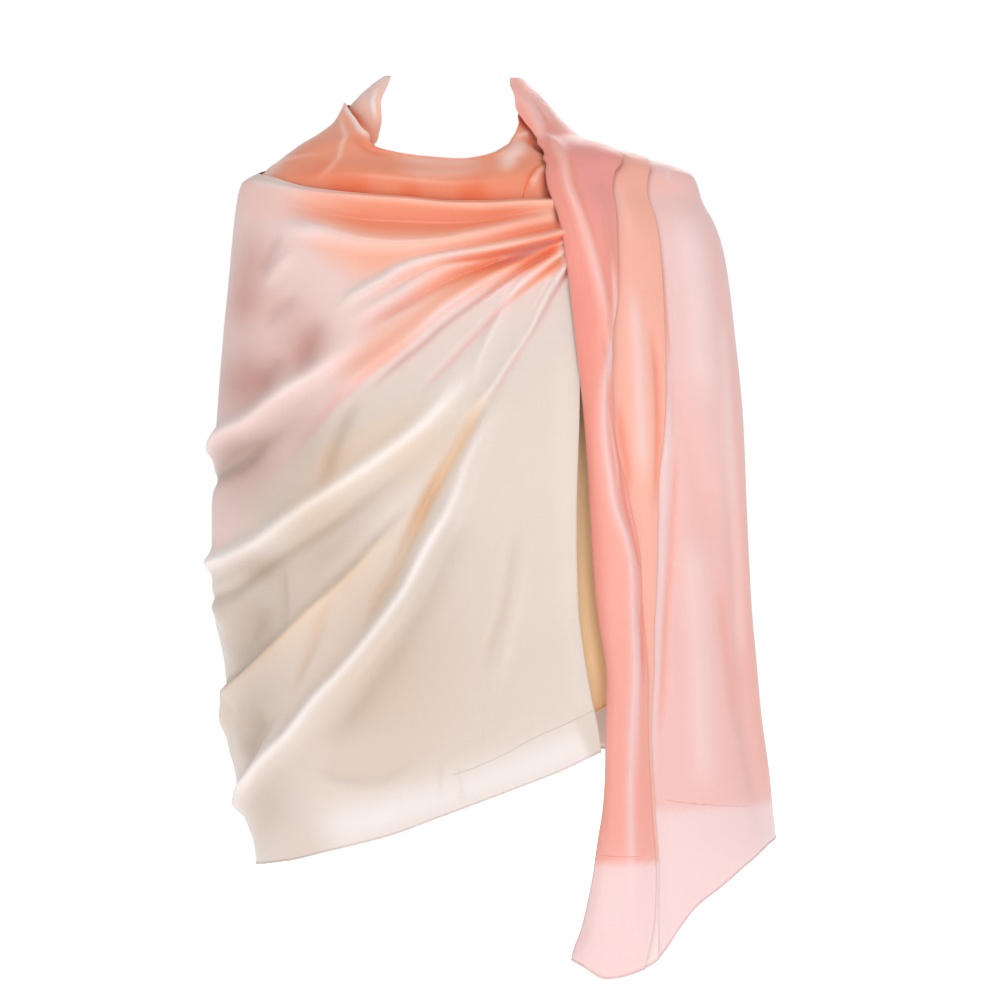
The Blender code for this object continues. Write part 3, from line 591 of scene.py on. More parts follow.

# Dye of each stretch down its height, 0 rose to 1 amber, and how deep its painted shade is; below zero the
# colour is painted lighter
DYE_COLUMNS = ("height", "dye", "depth")
DYES = {
    "cowl_silk": ((-40, 0.17, 0.45), (-10, 0.20, 0.10), (20, 0.22, 0.0), (50, 0.26, 0.0), (80, 0.34, 0.0)),
    "neck_silk_stretch": ((20, 0.22, 0.3), (60, 0.34, -0.1), (110, 0.46, -0.3)),
    "roll_silk": (
        (-760, 0.60, -0.5), (-654, 0.58, -0.4), (-646, 0.34, 0.0), (-600, 0.28, 0.0), (-450, 0.30, 0.0),
        (-260, 0.26, 0.0), (-120, 0.20, 0.0), (-60, 0.16, 0.0), (0, 0.13, 0.1), (40, 0.17, 0.0),
        (70, 0.30, 0.0), (100, 0.40, 0.0),
    ),
    "middle_silk": (
        (-760, 0.60, -0.5), (-653, 0.58, -0.4), (-647, 0.40, 0.0), (-400, 0.36, 0.0), (-60, 0.35, 0.0),
        (30, 0.34, 0.0),
    ),
    "outer_silk": (
        (-760, 0.62, -0.5), (-608, 0.60, -0.4), (-597, 0.50, 0.0), (-400, 0.49, 0.0), (-200, 0.52, -0.1),
        (-60, 0.52, -0.2), (0, 0.44, -0.20), (30, 0.40, -0.20),
    ),
    # The under layer takes the amber end, painted light through two layers, with painted shade at its hem and
    # painted light above
    "inner_silk": ((-580, 1.0, 0.2), (-520, 1.0, -0.15), (-90, 1.0, -0.15)),
    "back_silk": (
        (-660, 0.80, 0.0), (-420, 0.78, 0.0), (-260, 0.62, 0.0), (-120, 0.42, 0.0), (60, 0.24, 0.1),
    ),
}

# How far the pink runs through the dye of the stretches of the falling end
PINK_SHARES = {"roll_silk": 0.32, "middle_silk": 0.12, "outer_silk": 0.26}

# Soft patches of painted shade, of painted light where the depth is below zero, and of changed dye: their
# middle and half size, as seen from the front in millimetres, and what they add
PATCH_COLUMNS = ("across", "height", "half across", "half height", "dye", "depth")
PATCHES = {
    "front_silk": (
        (-137, -163, 25, 32, -0.03, 0.65),
        (-192, -79, 21, 32, -0.03, 0.5),
        (-203, -119, 17, 28, -0.03, 0.45),
        (-173, -123, 32, 21, -0.02, 0.25),
        (-194, -197, 36, 36, -0.03, 0.85),
        (-203, -269, 36, 25, 0, 0.8),
        (-131, -263, 38, 44, 0.06, 0.5),
        (-184, -309, 48, 28, 0.04, 0.4),
        (-184, -372, 25, 14, -0.02, 0.5),
        (-188, -432, 38, 53, -0.02, 0.75),
        (-190, -526, 25, 42, -0.03, 0.65),
        (-66, -480, 76, 86, 0.02, 0.25),
        (-179, -600, 28, 32, -0.03, 0.4),
        (86, -49, 42, 13, 0, 0.25),
        (89, -83, 32, 19, -0.3, 0),
        (66, -119, 42, 32, -0.13, 0),
        (19, -176, 48, 32, -0.04, 0),
        (-114, -366, 48, 51, 0, 0.45),
        (-48, -252, 57, 38, 0.03, 0.2),
        (-28, -404, 48, 66, 0, 0.12),
        (-95, -594, 57, 23, 0, -0.15),
    ),
}

# The line where the coral of the front turns into cream, as seen from the front, and how softly it does
CORAL_EDGE = (
    (-200, -328), (-179, -301), (-156, -277), (-114, -224), (-86, -199), (-48, -170), (-28, -154),
    (-10, -138), (28, -111), (48, -96), (66, -86), (104, -65), (133, -51),
)
SHARP_SHARE = 0.5
SHARP_RUN = 7.0
SOFT_RUN = 60.0
SOFT_OFFSET = 16.0
ARM_SOFT_RUN = 90.0
ARM_SOFT_SHARE = 0.3

# The front's dye above the line, from coral at its top edge to blush, paler over the arm, and its dye below
CORAL = 0.19
BLUSH = 0.52
CORAL_FROM = 26.0
CORAL_RUN = 84.0
ARM_PALER = 0.32
ARM_PALER_FROM = -20.0
ARM_PALER_RUN = 36.0
ARM_PALEST = 0.56
CREAM = 0.78

# Degrees over which the back's dye turns into the dye of the stretch beside it
BACK_BLEND = 40.0

# Stops of the dye, from its rose end to its amber end; the amber is painted light, the warm glow where light
# passes through two layers of silk
DYE_STOPS = (
    (0.0, "rose"), (0.2, "coral"), (0.38, "peach"), (0.56, "blush"), (0.77, "cream"), (1.0, "amber"),
)
DYE_AND_SHADE_GROUP = "shaded_dye"
WEAVE_GROUP = "satin_weave"
FULL_COLOUR = 255.0

# Slubs: how often they come across and along the cloth, the range that they fill, and how far they change the
# colour and the gloss
SLUB_STRETCHES = ((900.0, 26.0, 1.0), (26.0, 900.0, 1.0))
SLUB_DETAIL = 3.0
SLUB_LOW = 0.3
SLUB_HIGH = 0.7
SLUB_TINT = 0.04
ROUGHNESS_SPREAD = 0.04
THREAD_SHARE = 0.35

# Places of the two colours and of the result on a mix node, which has a set for each kind of value
MIX_COLOURS = (6, 7)
MIX_RESULT = 2

WHITE = (1.0, 1.0, 1.0, 1.0)
FLOOR_SIDES = 96
FLOOR_GRAIN = 3.0
FLOOR_TONES = ((0.95, 0.95, 0.95, 1.0), (0.98, 0.98, 0.98, 1.0))
FLOOR_ROUGHNESS = 0.9
CAMERA_SENSOR = 36.0

# Square lights: the setting of their power, their place, the point they face, their width and their colour
LIGHT_COLUMNS = ("name", "power", "place", "aim", "width", "colour")
LIGHTS = (
    ("key_light", "key", (-0.9, -2.4, 2.4), (0.0, 0.0, -0.25), 1.3, (1.0, 0.99, 0.975)),
    ("fill_light", "fill", (1.7, -2.7, 0.2), (0.0, 0.0, -0.35), 2.4, (0.97, 0.985, 1.0)),
    ("back_light", "rim", (0.6, 2.6, 1.6), (0.0, 0.0, -0.2), 1.6, (1.0, 1.0, 1.0)),
)


def column(table, columns, name):
    """One named column of a table, as an array."""
    place = columns.index(name)
    return np.array([row[place] for row in table], dtype=float)


def named_rows(table, columns):
    """The rows of a table, each as a lookup by column name."""
    return [dict(zip(columns, row)) for row in table]


def mix(first, second, share):
    return first + (second - first) * share


def ease(value):
    """0 to 1 with level ends."""
    value = np.clip(value, 0.0, 1.0)
    return value * value * (3.0 - 2.0 * value)


def smooth_line(stations, values, at):
    """A smooth line through the values, which never swings past them and stays level past both ends."""
    stations = np.asarray(stations, dtype=float)
    values = np.asarray(values, dtype=float)
    rates = np.diff(values) / np.diff(stations)
    before = rates[:-1]
    after = rates[1:]
    total = np.where(before + after == 0.0, 1.0, before + after)
    inner = np.where(before * after > 0.0, 2.0 * before * after / total, 0.0)
    slopes = np.concatenate(([rates[0]], inner, [rates[-1]]))
    at = np.clip(at, stations[0], stations[-1])
    low = np.clip(np.searchsorted(stations, at) - 1, 0, len(stations) - 2)
    step = stations[low + 1] - stations[low]
    part = (at - stations[low]) / step
    back = part - 1.0
    return (
        values[low] * (1.0 + 2.0 * part) * back * back
        + slopes[low] * step * part * back * back
        + values[low + 1] * part * part * (3.0 - 2.0 * part)
        + slopes[low + 1] * step * part * part * back
    )


def table_line(table, columns, name, at):
    """A smooth line through one column of a table, read at places along its first column."""
    return smooth_line(column(table, columns, columns[0]), column(table, columns, name), at)


def edge_height(table, turn):
    return table_line(table, EDGE_COLUMNS, "height", turn)


def edge_turn(table, height):
    return table_line(table, SIDE_COLUMNS, "turn", height)


def ring_reach(name, height):
    """How far the rings reach from the neck's axis to one side at a height."""
    return table_line(RINGS, RING_COLUMNS, name, height)


def ring_point(turn, height):
    """The place on the rings at a turn and a height."""
    reach = RING_SOFTENING * ease((RING_SOFT_BELOW - height) / RING_SOFT_RUN)
    left, right, front, back = (
        sum(share * ring_reach(name, height + step * reach) for step, share in RING_SOFT_STEPS)
        for name in ("left", "right", "front", "back")
    )
    angle = np.radians(turn)
    forward = np.cos(angle)
    depth = np.where(forward > 0.0, front, back)
    across = (right - left) / 2.0 + (right + left) / 2.0 * np.sin(angle)
    return np.stack((across, -depth * forward, height + 0.0 * turn), axis=-1)


def outward(turn, height):
    """The direction straight out of the rings."""
    around = ring_point(turn + NORMAL_STEP_TURN, height) - ring_point(turn - NORMAL_STEP_TURN, height)
    upward = ring_point(turn, height + NORMAL_STEP_HEIGHT) - ring_point(turn, height - NORMAL_STEP_HEIGHT)
    normal = np.cross(around, upward)
    return normal / np.linalg.norm(normal, axis=-1, keepdims=True)


def bump(distance, above, below):
    """A soft ridge of height 1, with its own width on each side."""
    width = np.where(distance > 0.0, above, below)
    return np.exp(-((distance / width) ** 2))


def seen_turn(across, seen_height, stand_off):
    """The turn and height on the rings of a point seen from the front, on cloth that stands off them."""
    distance = PLANE_DISTANCE + 0.0 * across
    for _ in range(SEEN_ROUNDS):
        nearer = distance / PLANE_DISTANCE
        place = EYE_X + (across - EYE_X) * nearer
        height = EYE_HEIGHT + (seen_height - EYE_HEIGHT) * nearer
        left, right, front = (ring_reach(name, height) for name in ("left", "right", "front"))
        share = (place - (right - left) / 2.0) / ((right + left) / 2.0 + stand_off)
        share = np.clip(share, -OUTLINE_SHARE, OUTLINE_SHARE)
        distance = (distance + EYE_DISTANCE - (front + stand_off) * np.sqrt(1.0 - share * share)) / 2.0
    return np.degrees(np.arcsin(share)), height


def crest_line(points, stand_off):
    """Turns and heights of a smooth line through points seen from the front."""
    turn, height = seen_turn(*np.array(points, dtype=float).T, stand_off)
    steep = abs(points[1][1] - points[0][1]) > STEEP_SLOPE * abs(points[1][0] - points[0][0])
    if turn[0] < ARM_OUTLINE_TURN and not steep:
        fall = np.clip(ROUND_ARM_SLOPE * (height[0] - height[1]), -ROUND_ARM_LIMIT, ROUND_ARM_LIMIT)
        turn = np.concatenate(([ROUND_ARM_TURN], turn))
        height = np.concatenate(([height[0] + fall], height))
    places = ring_point(turn, height)
    run = np.concatenate(([0.0], np.cumsum(np.linalg.norm(np.diff(places, axis=0), axis=1))))
    at = np.linspace(0.0, run[-1], CREST_STEPS)
    return smooth_line(run, turn, at), smooth_line(run, height, at)


def from_line(points, stand_off, places, reach):
    """Signed distance of places from a line, and how far along it they lie, for those within reach of it."""
    turn, height = crest_line(points, stand_off)
    line = ring_point(turn, height)
    out = outward(turn, height)
    distance = np.full(len(places), np.inf)
    along = np.zeros(len(places))
    inside = np.all((places > line.min(axis=0) - reach) & (places < line.max(axis=0) + reach), axis=1)
    near = places[inside]
    nearest = np.full(len(near), np.inf)
    signed = np.zeros(len(near))
    share = np.zeros(len(near))
    for step in range(len(line) - 1):
        run = line[step + 1] - line[step]
        part = np.clip((near - line[step]) @ run / (run @ run), 0.0, 1.0)
        gap = near - line[step] - part[:, None] * run
        length = np.linalg.norm(gap, axis=1)
        closer = length < nearest
        nearest = np.where(closer, length, nearest)
        signed = np.where(closer, np.copysign(length, gap @ np.cross(out[step], run)), signed)
        share = np.where(closer, (step + part) / (len(line) - 1), share)
    distance[inside] = signed
    along[inside] = share
    return distance, along


def fold_values(name, turn, height):
    """What the folds of a stretch add to its lift, its dye with painted highlights on crests, and its depth
    of painted shade at each place.
    """
    table = FOLDS.get("front_silk" if name == "back_silk" else name, {})
    places = ring_point(turn, height)
    totals = np.zeros((3, len(places)))
    for fold in named_rows(table.values(), FOLD_COLUMNS):
        reach = FOLD_REACH * max(fold["above"], fold["below"])
        distance, along = from_line(fold["points"], STAND_OFF[name], places, reach)
        length = np.linalg.norm(np.diff(fold["points"], axis=0), axis=1).sum()
        fade_in = min(FADE_LENGTH / length, FADE_SHARE)
        gathered = name in GATHERED_STRETCHES and fold["points"][-1][0] > GATHER_ACROSS
        fade_out = GATHER_FADE / length if gathered else fade_in
        fade = ease(along / fade_in) * ease((1.0 - along) / fade_out)
        swell = np.where(np.isfinite(distance), fade * bump(distance, fold["above"], fold["below"]), 0.0)
        totals += swell * np.array((fold["rise"], fold["dye"], fold["depth"]))[:, None]
    for fold in named_rows(DROPS.get(name, {}).values(), DROP_COLUMNS):
        crest = smooth_line(DROP_HEIGHTS, fold["turns"], height)
        fade = ease((fold["top"] - height) / DROP_FADE) * ease((height - fold["foot"]) / DROP_FADE)
        swell = fade * bump(turn - crest, fold["right"], fold["left"])
        totals[0] += fold["rise"] * swell
        # Painted shade in the hollows of the hanging folds
        totals[2] -= SHADE_OF_HOLLOW * min(fold["rise"], 0.0) * swell
    return totals


def swag_lift(turn, height):
    """How far the swags across the back stand out at a place."""
    to_shoulder = np.abs(turn + FULL_TURN / 2.0) / SWAG_HALF_TURN
    total = 0.0 * turn
    for swag in named_rows(SWAGS, SWAG_COLUMNS):
        crest = mix(swag["middle height"], swag["shoulder height"], to_shoulder ** 2)
        swell = bump(height - crest, swag["width"], swag["width"])
        total = total + swag["rise"] * (1.0 - ease(to_shoulder)) * swell
    return total


def between_edges(across, up, left, right, top, bottom):
    """Turns and heights that fill the space between two side edges, a top edge and a bottom edge."""
    height = mix(bottom(0.0 * across), top(0.0 * across), up)
    for _ in range(EDGE_ROUNDS):
        turn = mix(left(height), right(height), across)
        height = mix(bottom(turn), top(turn), up)
    return turn, height


def side(table):
    return lambda height: edge_turn(table, height)


def level(table):
    return lambda turn: edge_height(table, turn)


def fixed(value):
    return lambda other: value + 0.0 * other


def middle_left(height):
    tuck = mix(LOW_TUCK, MIDDLE_TUCK, ease((height - MIDDLE_TUCK_FROM) / MIDDLE_TUCK_RUN))
    return edge_turn(ROLL_RIGHT, height) - tuck


def outer_left(height):
    return edge_turn(MIDDLE_RIGHT, height) - mix(LOW_TUCK, OUTER_TUCK, ease(height / OUTER_TUCK_RUN))


# The left, right, top and bottom of each stretch
OUTLINES = {
    "front_silk": (fixed(LEFT_SEAM + SEAM_TURN), side(FRONT_EDGE), level(FRONT_TOP), level(FRONT_HEM)),
    "cowl_silk": (fixed(LEFT_SEAM + NECK_SEAM_TURN), fixed(COWL_END), level(COWL_TOP), level(COWL_BOTTOM)),
    "neck_silk_stretch": (fixed(NECK_LEFT), fixed(NECK_RIGHT), level(NECK_EDGE), level(NECK_FOOT)),
    "roll_silk": (side(ROLL_LEFT), side(ROLL_RIGHT), level(ROLL_TOP), level(FALL_HEM)),
    "middle_silk": (middle_left, side(MIDDLE_RIGHT), fixed(MIDDLE_TOP), level(FALL_HEM)),
    "outer_silk": (outer_left, fixed(RIGHT_SEAM - 2.0 * SEAM_TURN), fixed(OUTER_TOP), level(FALL_HEM)),
    "inner_silk": (fixed(INNER_LEFT), fixed(INNER_RIGHT), level(INNER_TOP), level(INNER_HEM)),
    "back_silk": (
        fixed(RIGHT_SEAM - FULL_TURN + SEAM_TURN), fixed(LEFT_SEAM - SEAM_TURN), level(BACK_TOP),
        level(BACK_HEM),
    ),
}


def front_lift(turn, height, across, up, folds):
    """The front's folds, with its top edge turned in towards the neck edge."""
    return mix(TOP_EDGE_LIFT, folds, ease((edge_height(FRONT_TOP, turn) - height) / TOP_EDGE_RUN))


def cowl_lift(turn, height, across, up, folds):
    """The soft neck edge, tucked in behind the top roll of the front and under the falling end."""
    above_middle = (up - COWL_MIDDLE) / COWL_MIDDLE
    crown = COWL_SWELL * ease(up / COWL_MIDDLE) - COWL_LIP * ease(above_middle) - COWL_TUCK
    under_roll = ease((turn - edge_turn(ROLL_LEFT, height) + UNDER_ROLL_LEAD) / UNDER_ROLL_RUN)
    up_the_neck = ease((height - COWL_UNDER_ROLL_FROM) / COWL_UNDER_ROLL_RUN)
    dip = mix(COWL_UNDER_ROLL, COWL_UNDER_ROLL_TOP, up_the_neck) * under_roll
    return (crown + folds) * ease((turn - LEFT_SEAM) / COWL_SEAM_RUN) - dip


def neck_lift(turn, height, across, up, folds):
    """The cloth against the side of the neck, just inside the neck edge."""
    return mix(NECK_SEAM_LIFT, NECK_LIFT, ease((turn - NECK_LEFT) / NECK_RUN)) + folds


def roll_lift(turn, height, across, up, folds):
    """The rolled inner edge of the falling end, with its left edge curled under."""
    at_neck = ease((height - ROLL_NECK_FROM) / ROLL_NECK_RUN)
    over_gather = GATHER_LIFT * (1.0 - ease(np.abs(height - GATHER_HEIGHT) / GATHER_REACH))
    left_lift = mix(ROLL_LIFT, ROLL_NECK_LIFT, at_neck) + over_gather
    right_lift = mix(ROLL_RIGHT_LIFT, ROLL_RIGHT_NECK_LIFT, ease((height - SHOULDER_FROM) / SHOULDER_RUN))
    base = mix(left_lift, right_lift, ease((across - ROLL_RIGHT_FROM) / (1.0 - ROLL_RIGHT_FROM)))
    swell = mix(ROLL_CROWN, ROLL_NECK_CROWN, at_neck) * np.sin(math.pi * across)
    crown = base + swell - ROLL_LEFT_DROP * (1.0 - ease(across / ROLL_LEFT_RUN))
    curl = ROLL_CURL * (1.0 - at_neck) * np.clip(1.0 - across / ROLL_CURL_RUN, 0.0, 1.0) ** 2
    down_to_seam = mix(BACK_LOW_SHARE, 1.0, ease((height - BACK_HIGH_FROM) / BACK_HIGH_RUN))
    round_back = ease((turn - BACK_TURN) / BACK_RUN) * down_to_seam
    return (crown - curl) * (1.0 - round_back) + folds


def middle_lift(turn, height, across, up, folds):
    """The fold between the roll and the outer fold, tucked in under the roll."""
    clear_of_roll = ease((turn - edge_turn(ROLL_RIGHT, height)) / CLEAR_RUN)
    return MIDDLE_LIFT + (MIDDLE_CROWN * np.sin(math.pi * across) + folds) * clear_of_roll


def outer_lift(turn, height, across, up, folds):
    """The outer fold, over the shoulder and the arm to the seam at the back."""
    clear_of_middle = ease((turn - edge_turn(MIDDLE_RIGHT, height)) / CLEAR_RUN)
    tucked = mix(OUTER_LIFT, OUTER_SHOULDER_LIFT, ease((height - SHOULDER_FROM) / SHOULDER_RUN))
    return mix(tucked, folds, clear_of_middle)


def inner_lift(turn, height, across, up, folds):
    """The under layer behind the free edge of the front and the falling end."""
    waved = INNER_LIFT + INNER_WAVE * np.sin(math.radians(INNER_WAVE_RATE) * turn)
    return mix(waved, INNER_RIGHT_LIFT, ease((turn - INNER_RIGHT_FROM) / INNER_RIGHT_RUN))


def back_lift(turn, height, across, up, folds):
    """The back, from one seam round to the other."""
    return folds + swag_lift(turn, height)


LIFTS = {
    "front_silk": front_lift,
    "cowl_silk": cowl_lift,
    "neck_silk_stretch": neck_lift,
    "roll_silk": roll_lift,
    "middle_silk": middle_lift,
    "outer_silk": outer_lift,
    "inner_silk": inner_lift,
    "back_silk": back_lift,
}
SIDES_OF_SHEET = {
    "bottom": lambda along: (along, 0.0 * along),
    "top": lambda along: (along, 0.0 * along + 1.0),
    "right": lambda along: (0.0 * along + 1.0, along),
}


def front_dye(turn, height):
    """The front's dye: coral above the line that crosses it, cream below, and paler over the arm."""
    below_top = edge_height(FRONT_TOP, turn) - height
    coral = mix(CORAL, BLUSH, ease((below_top - CORAL_FROM) / CORAL_RUN))
    coral = coral + ARM_PALER * ease((ARM_PALER_FROM - turn) / ARM_PALER_RUN)
    coral = np.minimum(coral, ARM_PALEST)
    over, along = from_line(CORAL_EDGE, STAND_OFF["front_silk"], ring_point(turn, height), np.inf)
    near_arm = 1.0 - ease(along / ARM_SOFT_SHARE)
    sharp = ease(0.5 - over / mix(SHARP_RUN, ARM_SOFT_RUN, near_arm))
    soft = ease(0.5 - (over + SOFT_OFFSET) / mix(SOFT_RUN, ARM_SOFT_RUN, near_arm))
    return mix(coral, CREAM, mix(soft, sharp, SHARP_SHARE))


def table_values(name, height):
    """The dye and the depth of shade of a stretch at a height, from its table."""
    return [table_line(DYES[name], DYE_COLUMNS, part, height) for part in ("dye", "depth")]


def painted(name, turn, height, dye_and_highlight_of_folds, painted_shade_of_folds):
    """The dye and the depth of painted shade at each place of a stretch."""
    if name in DYES:
        dye, depth = table_values(name, height)
    else:
        dye, depth = front_dye(turn, height), 0.0 * height
    if name == "back_silk":
        to_front = ease(1.0 - (LEFT_SEAM - turn) / BACK_BLEND)
        to_fall = ease(1.0 - (turn - RIGHT_SEAM + FULL_TURN) / BACK_BLEND)
        dye = mix(dye, front_dye(turn, height), to_front)
        dye = mix(dye, table_values("outer_silk", height)[0], to_fall)
    places = ring_point(turn, height)
    # Soft patches of painted shade and light, and of changed dye
    for patch in named_rows(PATCHES.get(name, ()), PATCH_COLUMNS):
        away = np.hypot(
            (places[:, 0] - patch["across"]) / patch["half across"],
            (places[:, 2] - patch["height"]) / patch["half height"],
        )
        share = np.exp(-away * away)
        dye = dye + patch["dye"] * share
        depth = depth + patch["depth"] * share
    return np.clip(dye + dye_and_highlight_of_folds, 0.0, 1.0), np.clip(depth + painted_shade_of_folds, -1.0, 1.0)


def laid(name, turn, height, across, up):
    """Where a stretch lies at its turns and heights, and its dye and depth of shade there."""
    folds, dye_and_highlight_of_folds, painted_shade_of_folds = fold_values(name, turn, height)
    lift = LIFTS[name](turn, height, across, up, folds)
    points = (ring_point(turn, height) + outward(turn, height) * lift[:, None]) * MM
    return points, *painted(name, turn, height, dye_and_highlight_of_folds, painted_shade_of_folds)


def put_values(mesh, dye, depth, flat):
    """Keeps the dye, the depth of painted shade and the place on the flat cloth on a mesh."""
    for name, values in (("dye", dye), ("depth", depth)):
        attribute = mesh.attributes.new(name, "FLOAT", "POINT")
        attribute.data.foreach_set("value", values.astype(np.float32))
    corners = np.empty(len(mesh.loops), dtype=np.int32)
    mesh.loops.foreach_get("vertex_index", corners)
    layer = mesh.uv_layers.new(name="cloth")
    layer.data.foreach_set("uv", flat[corners].astype(np.float32).ravel())


def flat_place(turn, height):
    """The place on the flat cloth, in metres."""
    return np.stack((turn / FULL_TURN * RING_LENGTH, height * MM), axis=-1)


def new_piece(name, grid, material):
    """A grid of faces as a smooth piece with its material."""
    mesh = bpy.data.meshes.new(name)
    grid.to_mesh(mesh)
    grid.free()
    mesh.shade_smooth()
    mesh.materials.append(material)
    piece = bpy.data.objects.new(name, mesh)
    bpy.context.scene.collection.objects.link(piece)
    return piece


def lay_stretch(stretch):
    """One stretch of silk, laid on its shape, with its thin wall."""
    name = stretch["name"]
    grid = bmesh.new()
    bmesh.ops.create_grid(grid, x_segments=stretch["quads across"], y_segments=stretch["quads up"], size=1.0)
    place = np.array([vertex.co for vertex in grid.verts])
    across = 1.0 - np.clip((1.0 - place[:, 0]) / 2.0, 0.0, 1.0) ** stretch["closer at the right"]
    up = 1.0 - np.clip((1.0 - place[:, 1]) / 2.0, 0.0, 1.0) ** stretch["closer at the top"]
    turn, height = between_edges(across, up, *OUTLINES[name])
    points, dye, depth = laid(name, turn, height, across, up)
    piece = new_piece(name, grid, silk_material(name))
    piece.data.vertices.foreach_set("co", points.astype(np.float32).ravel())
    piece.data.update()
    put_values(piece.data, dye, depth, flat_place(turn, height))
    wall = piece.modifiers.new("wall", "SOLIDIFY")
    wall.thickness = bpy.context.scene.silk_cloth.wall
    wall.offset = -1.0
    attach(piece, "root")
    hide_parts(stretch["solid"])
    return piece


def cord(name, stretch, turn, height, line, dye, depth, radius):
    """A thin closed tube along a line on a stretch."""
    out = outward(turn, height)
    run = np.gradient(line, axis=0)
    run = run / np.linalg.norm(run, axis=-1, keepdims=True)
    aside = np.cross(run, out)
    aside = aside / np.linalg.norm(aside, axis=-1, keepdims=True)
    out = np.cross(aside, run)
    steps = len(line) - 1
    grid = bmesh.new()
    bmesh.ops.create_grid(grid, x_segments=steps, y_segments=HEM_STEPS_ROUND, size=1.0)
    place = np.array([vertex.co for vertex in grid.verts])
    step = np.rint((place[:, 0] + 1.0) / 2.0 * steps).astype(int)
    angle = (place[:, 1] + 1.0) * math.pi
    round_it = np.cos(angle)[:, None] * aside[step] + np.sin(angle)[:, None] * out[step]
    points = line[step] + round_it * radius
    layers = (grid.verts.layers.float.new("dye"), grid.verts.layers.float.new("depth"))
    flat = flat_place(turn, height)
    cloth = grid.loops.layers.uv.new("cloth")
    for vertex, point, at in zip(grid.verts, points, step):
        vertex.co = point
        vertex[layers[0]] = dye[at]
        vertex[layers[1]] = depth[at]
        for loop in vertex.link_loops:
            loop[cloth].uv = flat[at]
    bmesh.ops.remove_doubles(grid, verts=grid.verts, dist=radius / HEM_MERGE)
    rims = [edge for edge in grid.edges if edge.is_boundary]
    bmesh.ops.holes_fill(grid, edges=rims, sides=0)
    bmesh.ops.recalc_face_normals(grid, faces=grid.faces)
    piece = new_piece(name, grid, silk_material(stretch))
    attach(piece, "root")
    return piece


def roll_hem(hem):
    """A thin rolled hem along one edge of a stretch."""
    settings = bpy.context.scene.silk_cloth
    across, up = SIDES_OF_SHEET[hem["side"]](np.linspace(0.0, 1.0, hem["steps"] + 1))
    turn, height = between_edges(across, up, *OUTLINES[hem["stretch"]])
    line, dye, depth = laid(hem["stretch"], turn, height, across, up)
    line = line - outward(turn, height) * settings.wall / 2.0
    return cord(hem["name"], hem["stretch"], turn, height, line, dye, depth, settings.hem_radius)


def lay_line(row):
    """A thin raised line on a stretch, with painted shade added along it."""
    name = row["stretch"]
    ends = crest_line(row["points"], STAND_OFF[name])
    along = np.linspace(0.0, 1.0, LINE_STEPS)
    turn, height = (np.interp(along, np.linspace(0.0, 1.0, CREST_STEPS), part) for part in ends)
    left, right, top, bottom = OUTLINES[name]
    across = (turn - left(height)) / (right(height) - left(height))
    up = (height - bottom(turn)) / (top(turn) - bottom(turn))
    line, dye, depth = laid(name, turn, height, across, up)
    radius = bpy.context.scene.silk_cloth.hem_radius * LINE_RADIUS_SHARE
    return cord(row["name"], name, turn, height, line, dye, depth + row["depth"], radius)


def pick(name):
    """A colour of the settings, turned from display values into scene values."""
    colour = Color(getattr(bpy.context.scene.silk_colours, name)).from_srgb_to_scene_linear()
    return (colour.r, colour.g, colour.b, 1.0)


def new_group(name, inputs, outputs):
    """An empty shader node group with its sockets, and its input and output nodes."""
    group = bpy.data.node_groups.new(name, "ShaderNodeTree")
    for label, kind in inputs:
        group.interface.new_socket(name=label, in_out="INPUT", socket_type=kind)
    for label, kind in outputs:
        group.interface.new_socket(name=label, in_out="OUTPUT", socket_type=kind)
    start = group.nodes.new("NodeGroupInput")
    end = group.nodes.new("NodeGroupOutput")
    return group, start, end


def colour_ramp(tree, stops):
    """A ramp node through the named colours of the settings."""
    ramp = tree.nodes.new("ShaderNodeValToRGB")
    elements = ramp.color_ramp.elements
    while len(elements) < len(stops):
        elements.new(0.5)
    for element, (at, name) in zip(elements, stops):
        element.position = at
        element.color = pick(name)
    return ramp


def plug(tree, socket, value):
    """Gives an input another socket to follow, or a value."""
    if isinstance(value, bpy.types.NodeSocket):
        tree.links.new(value, socket)
    else:
        socket.default_value = value


def new_node(tree, kind, values):
    """A node with its named inputs filled."""
    node = tree.nodes.new(kind)
    fill(tree, node, values)
    return node


def fill(tree, node, values):
    """Fills inputs of a node by name, each with a socket or a value."""
    for name, value in values.items():
        plug(tree, node.inputs[name], value)


def mixed(tree, kind, first, second, factor=1.0):
    """A colour mix node. Each part is a socket or a value."""
    node = tree.nodes.new("ShaderNodeMix")
    node.data_type = "RGBA"
    node.blend_type = kind
    plug(tree, node.inputs["Factor"], factor)
    for place, value in zip(MIX_COLOURS, (first, second)):
        plug(tree, node.inputs[place], value)
    return node.outputs[MIX_RESULT]


def calculated(tree, operation, first, second):
    """A maths node. Each part is a socket or a number."""
    node = tree.nodes.new("ShaderNodeMath")
    node.operation = operation
    for socket, value in zip(node.inputs, (first, second)):
        plug(tree, socket, value)
    return node.outputs[0]


def in_range(tree, slubs, low, high):
    """The slubs as values from low to high."""
    values = {"Value": slubs, "From Min": SLUB_LOW, "From Max": SLUB_HIGH, "To Min": low, "To Max": high}
    return new_node(tree, "ShaderNodeMapRange", values).outputs["Result"]


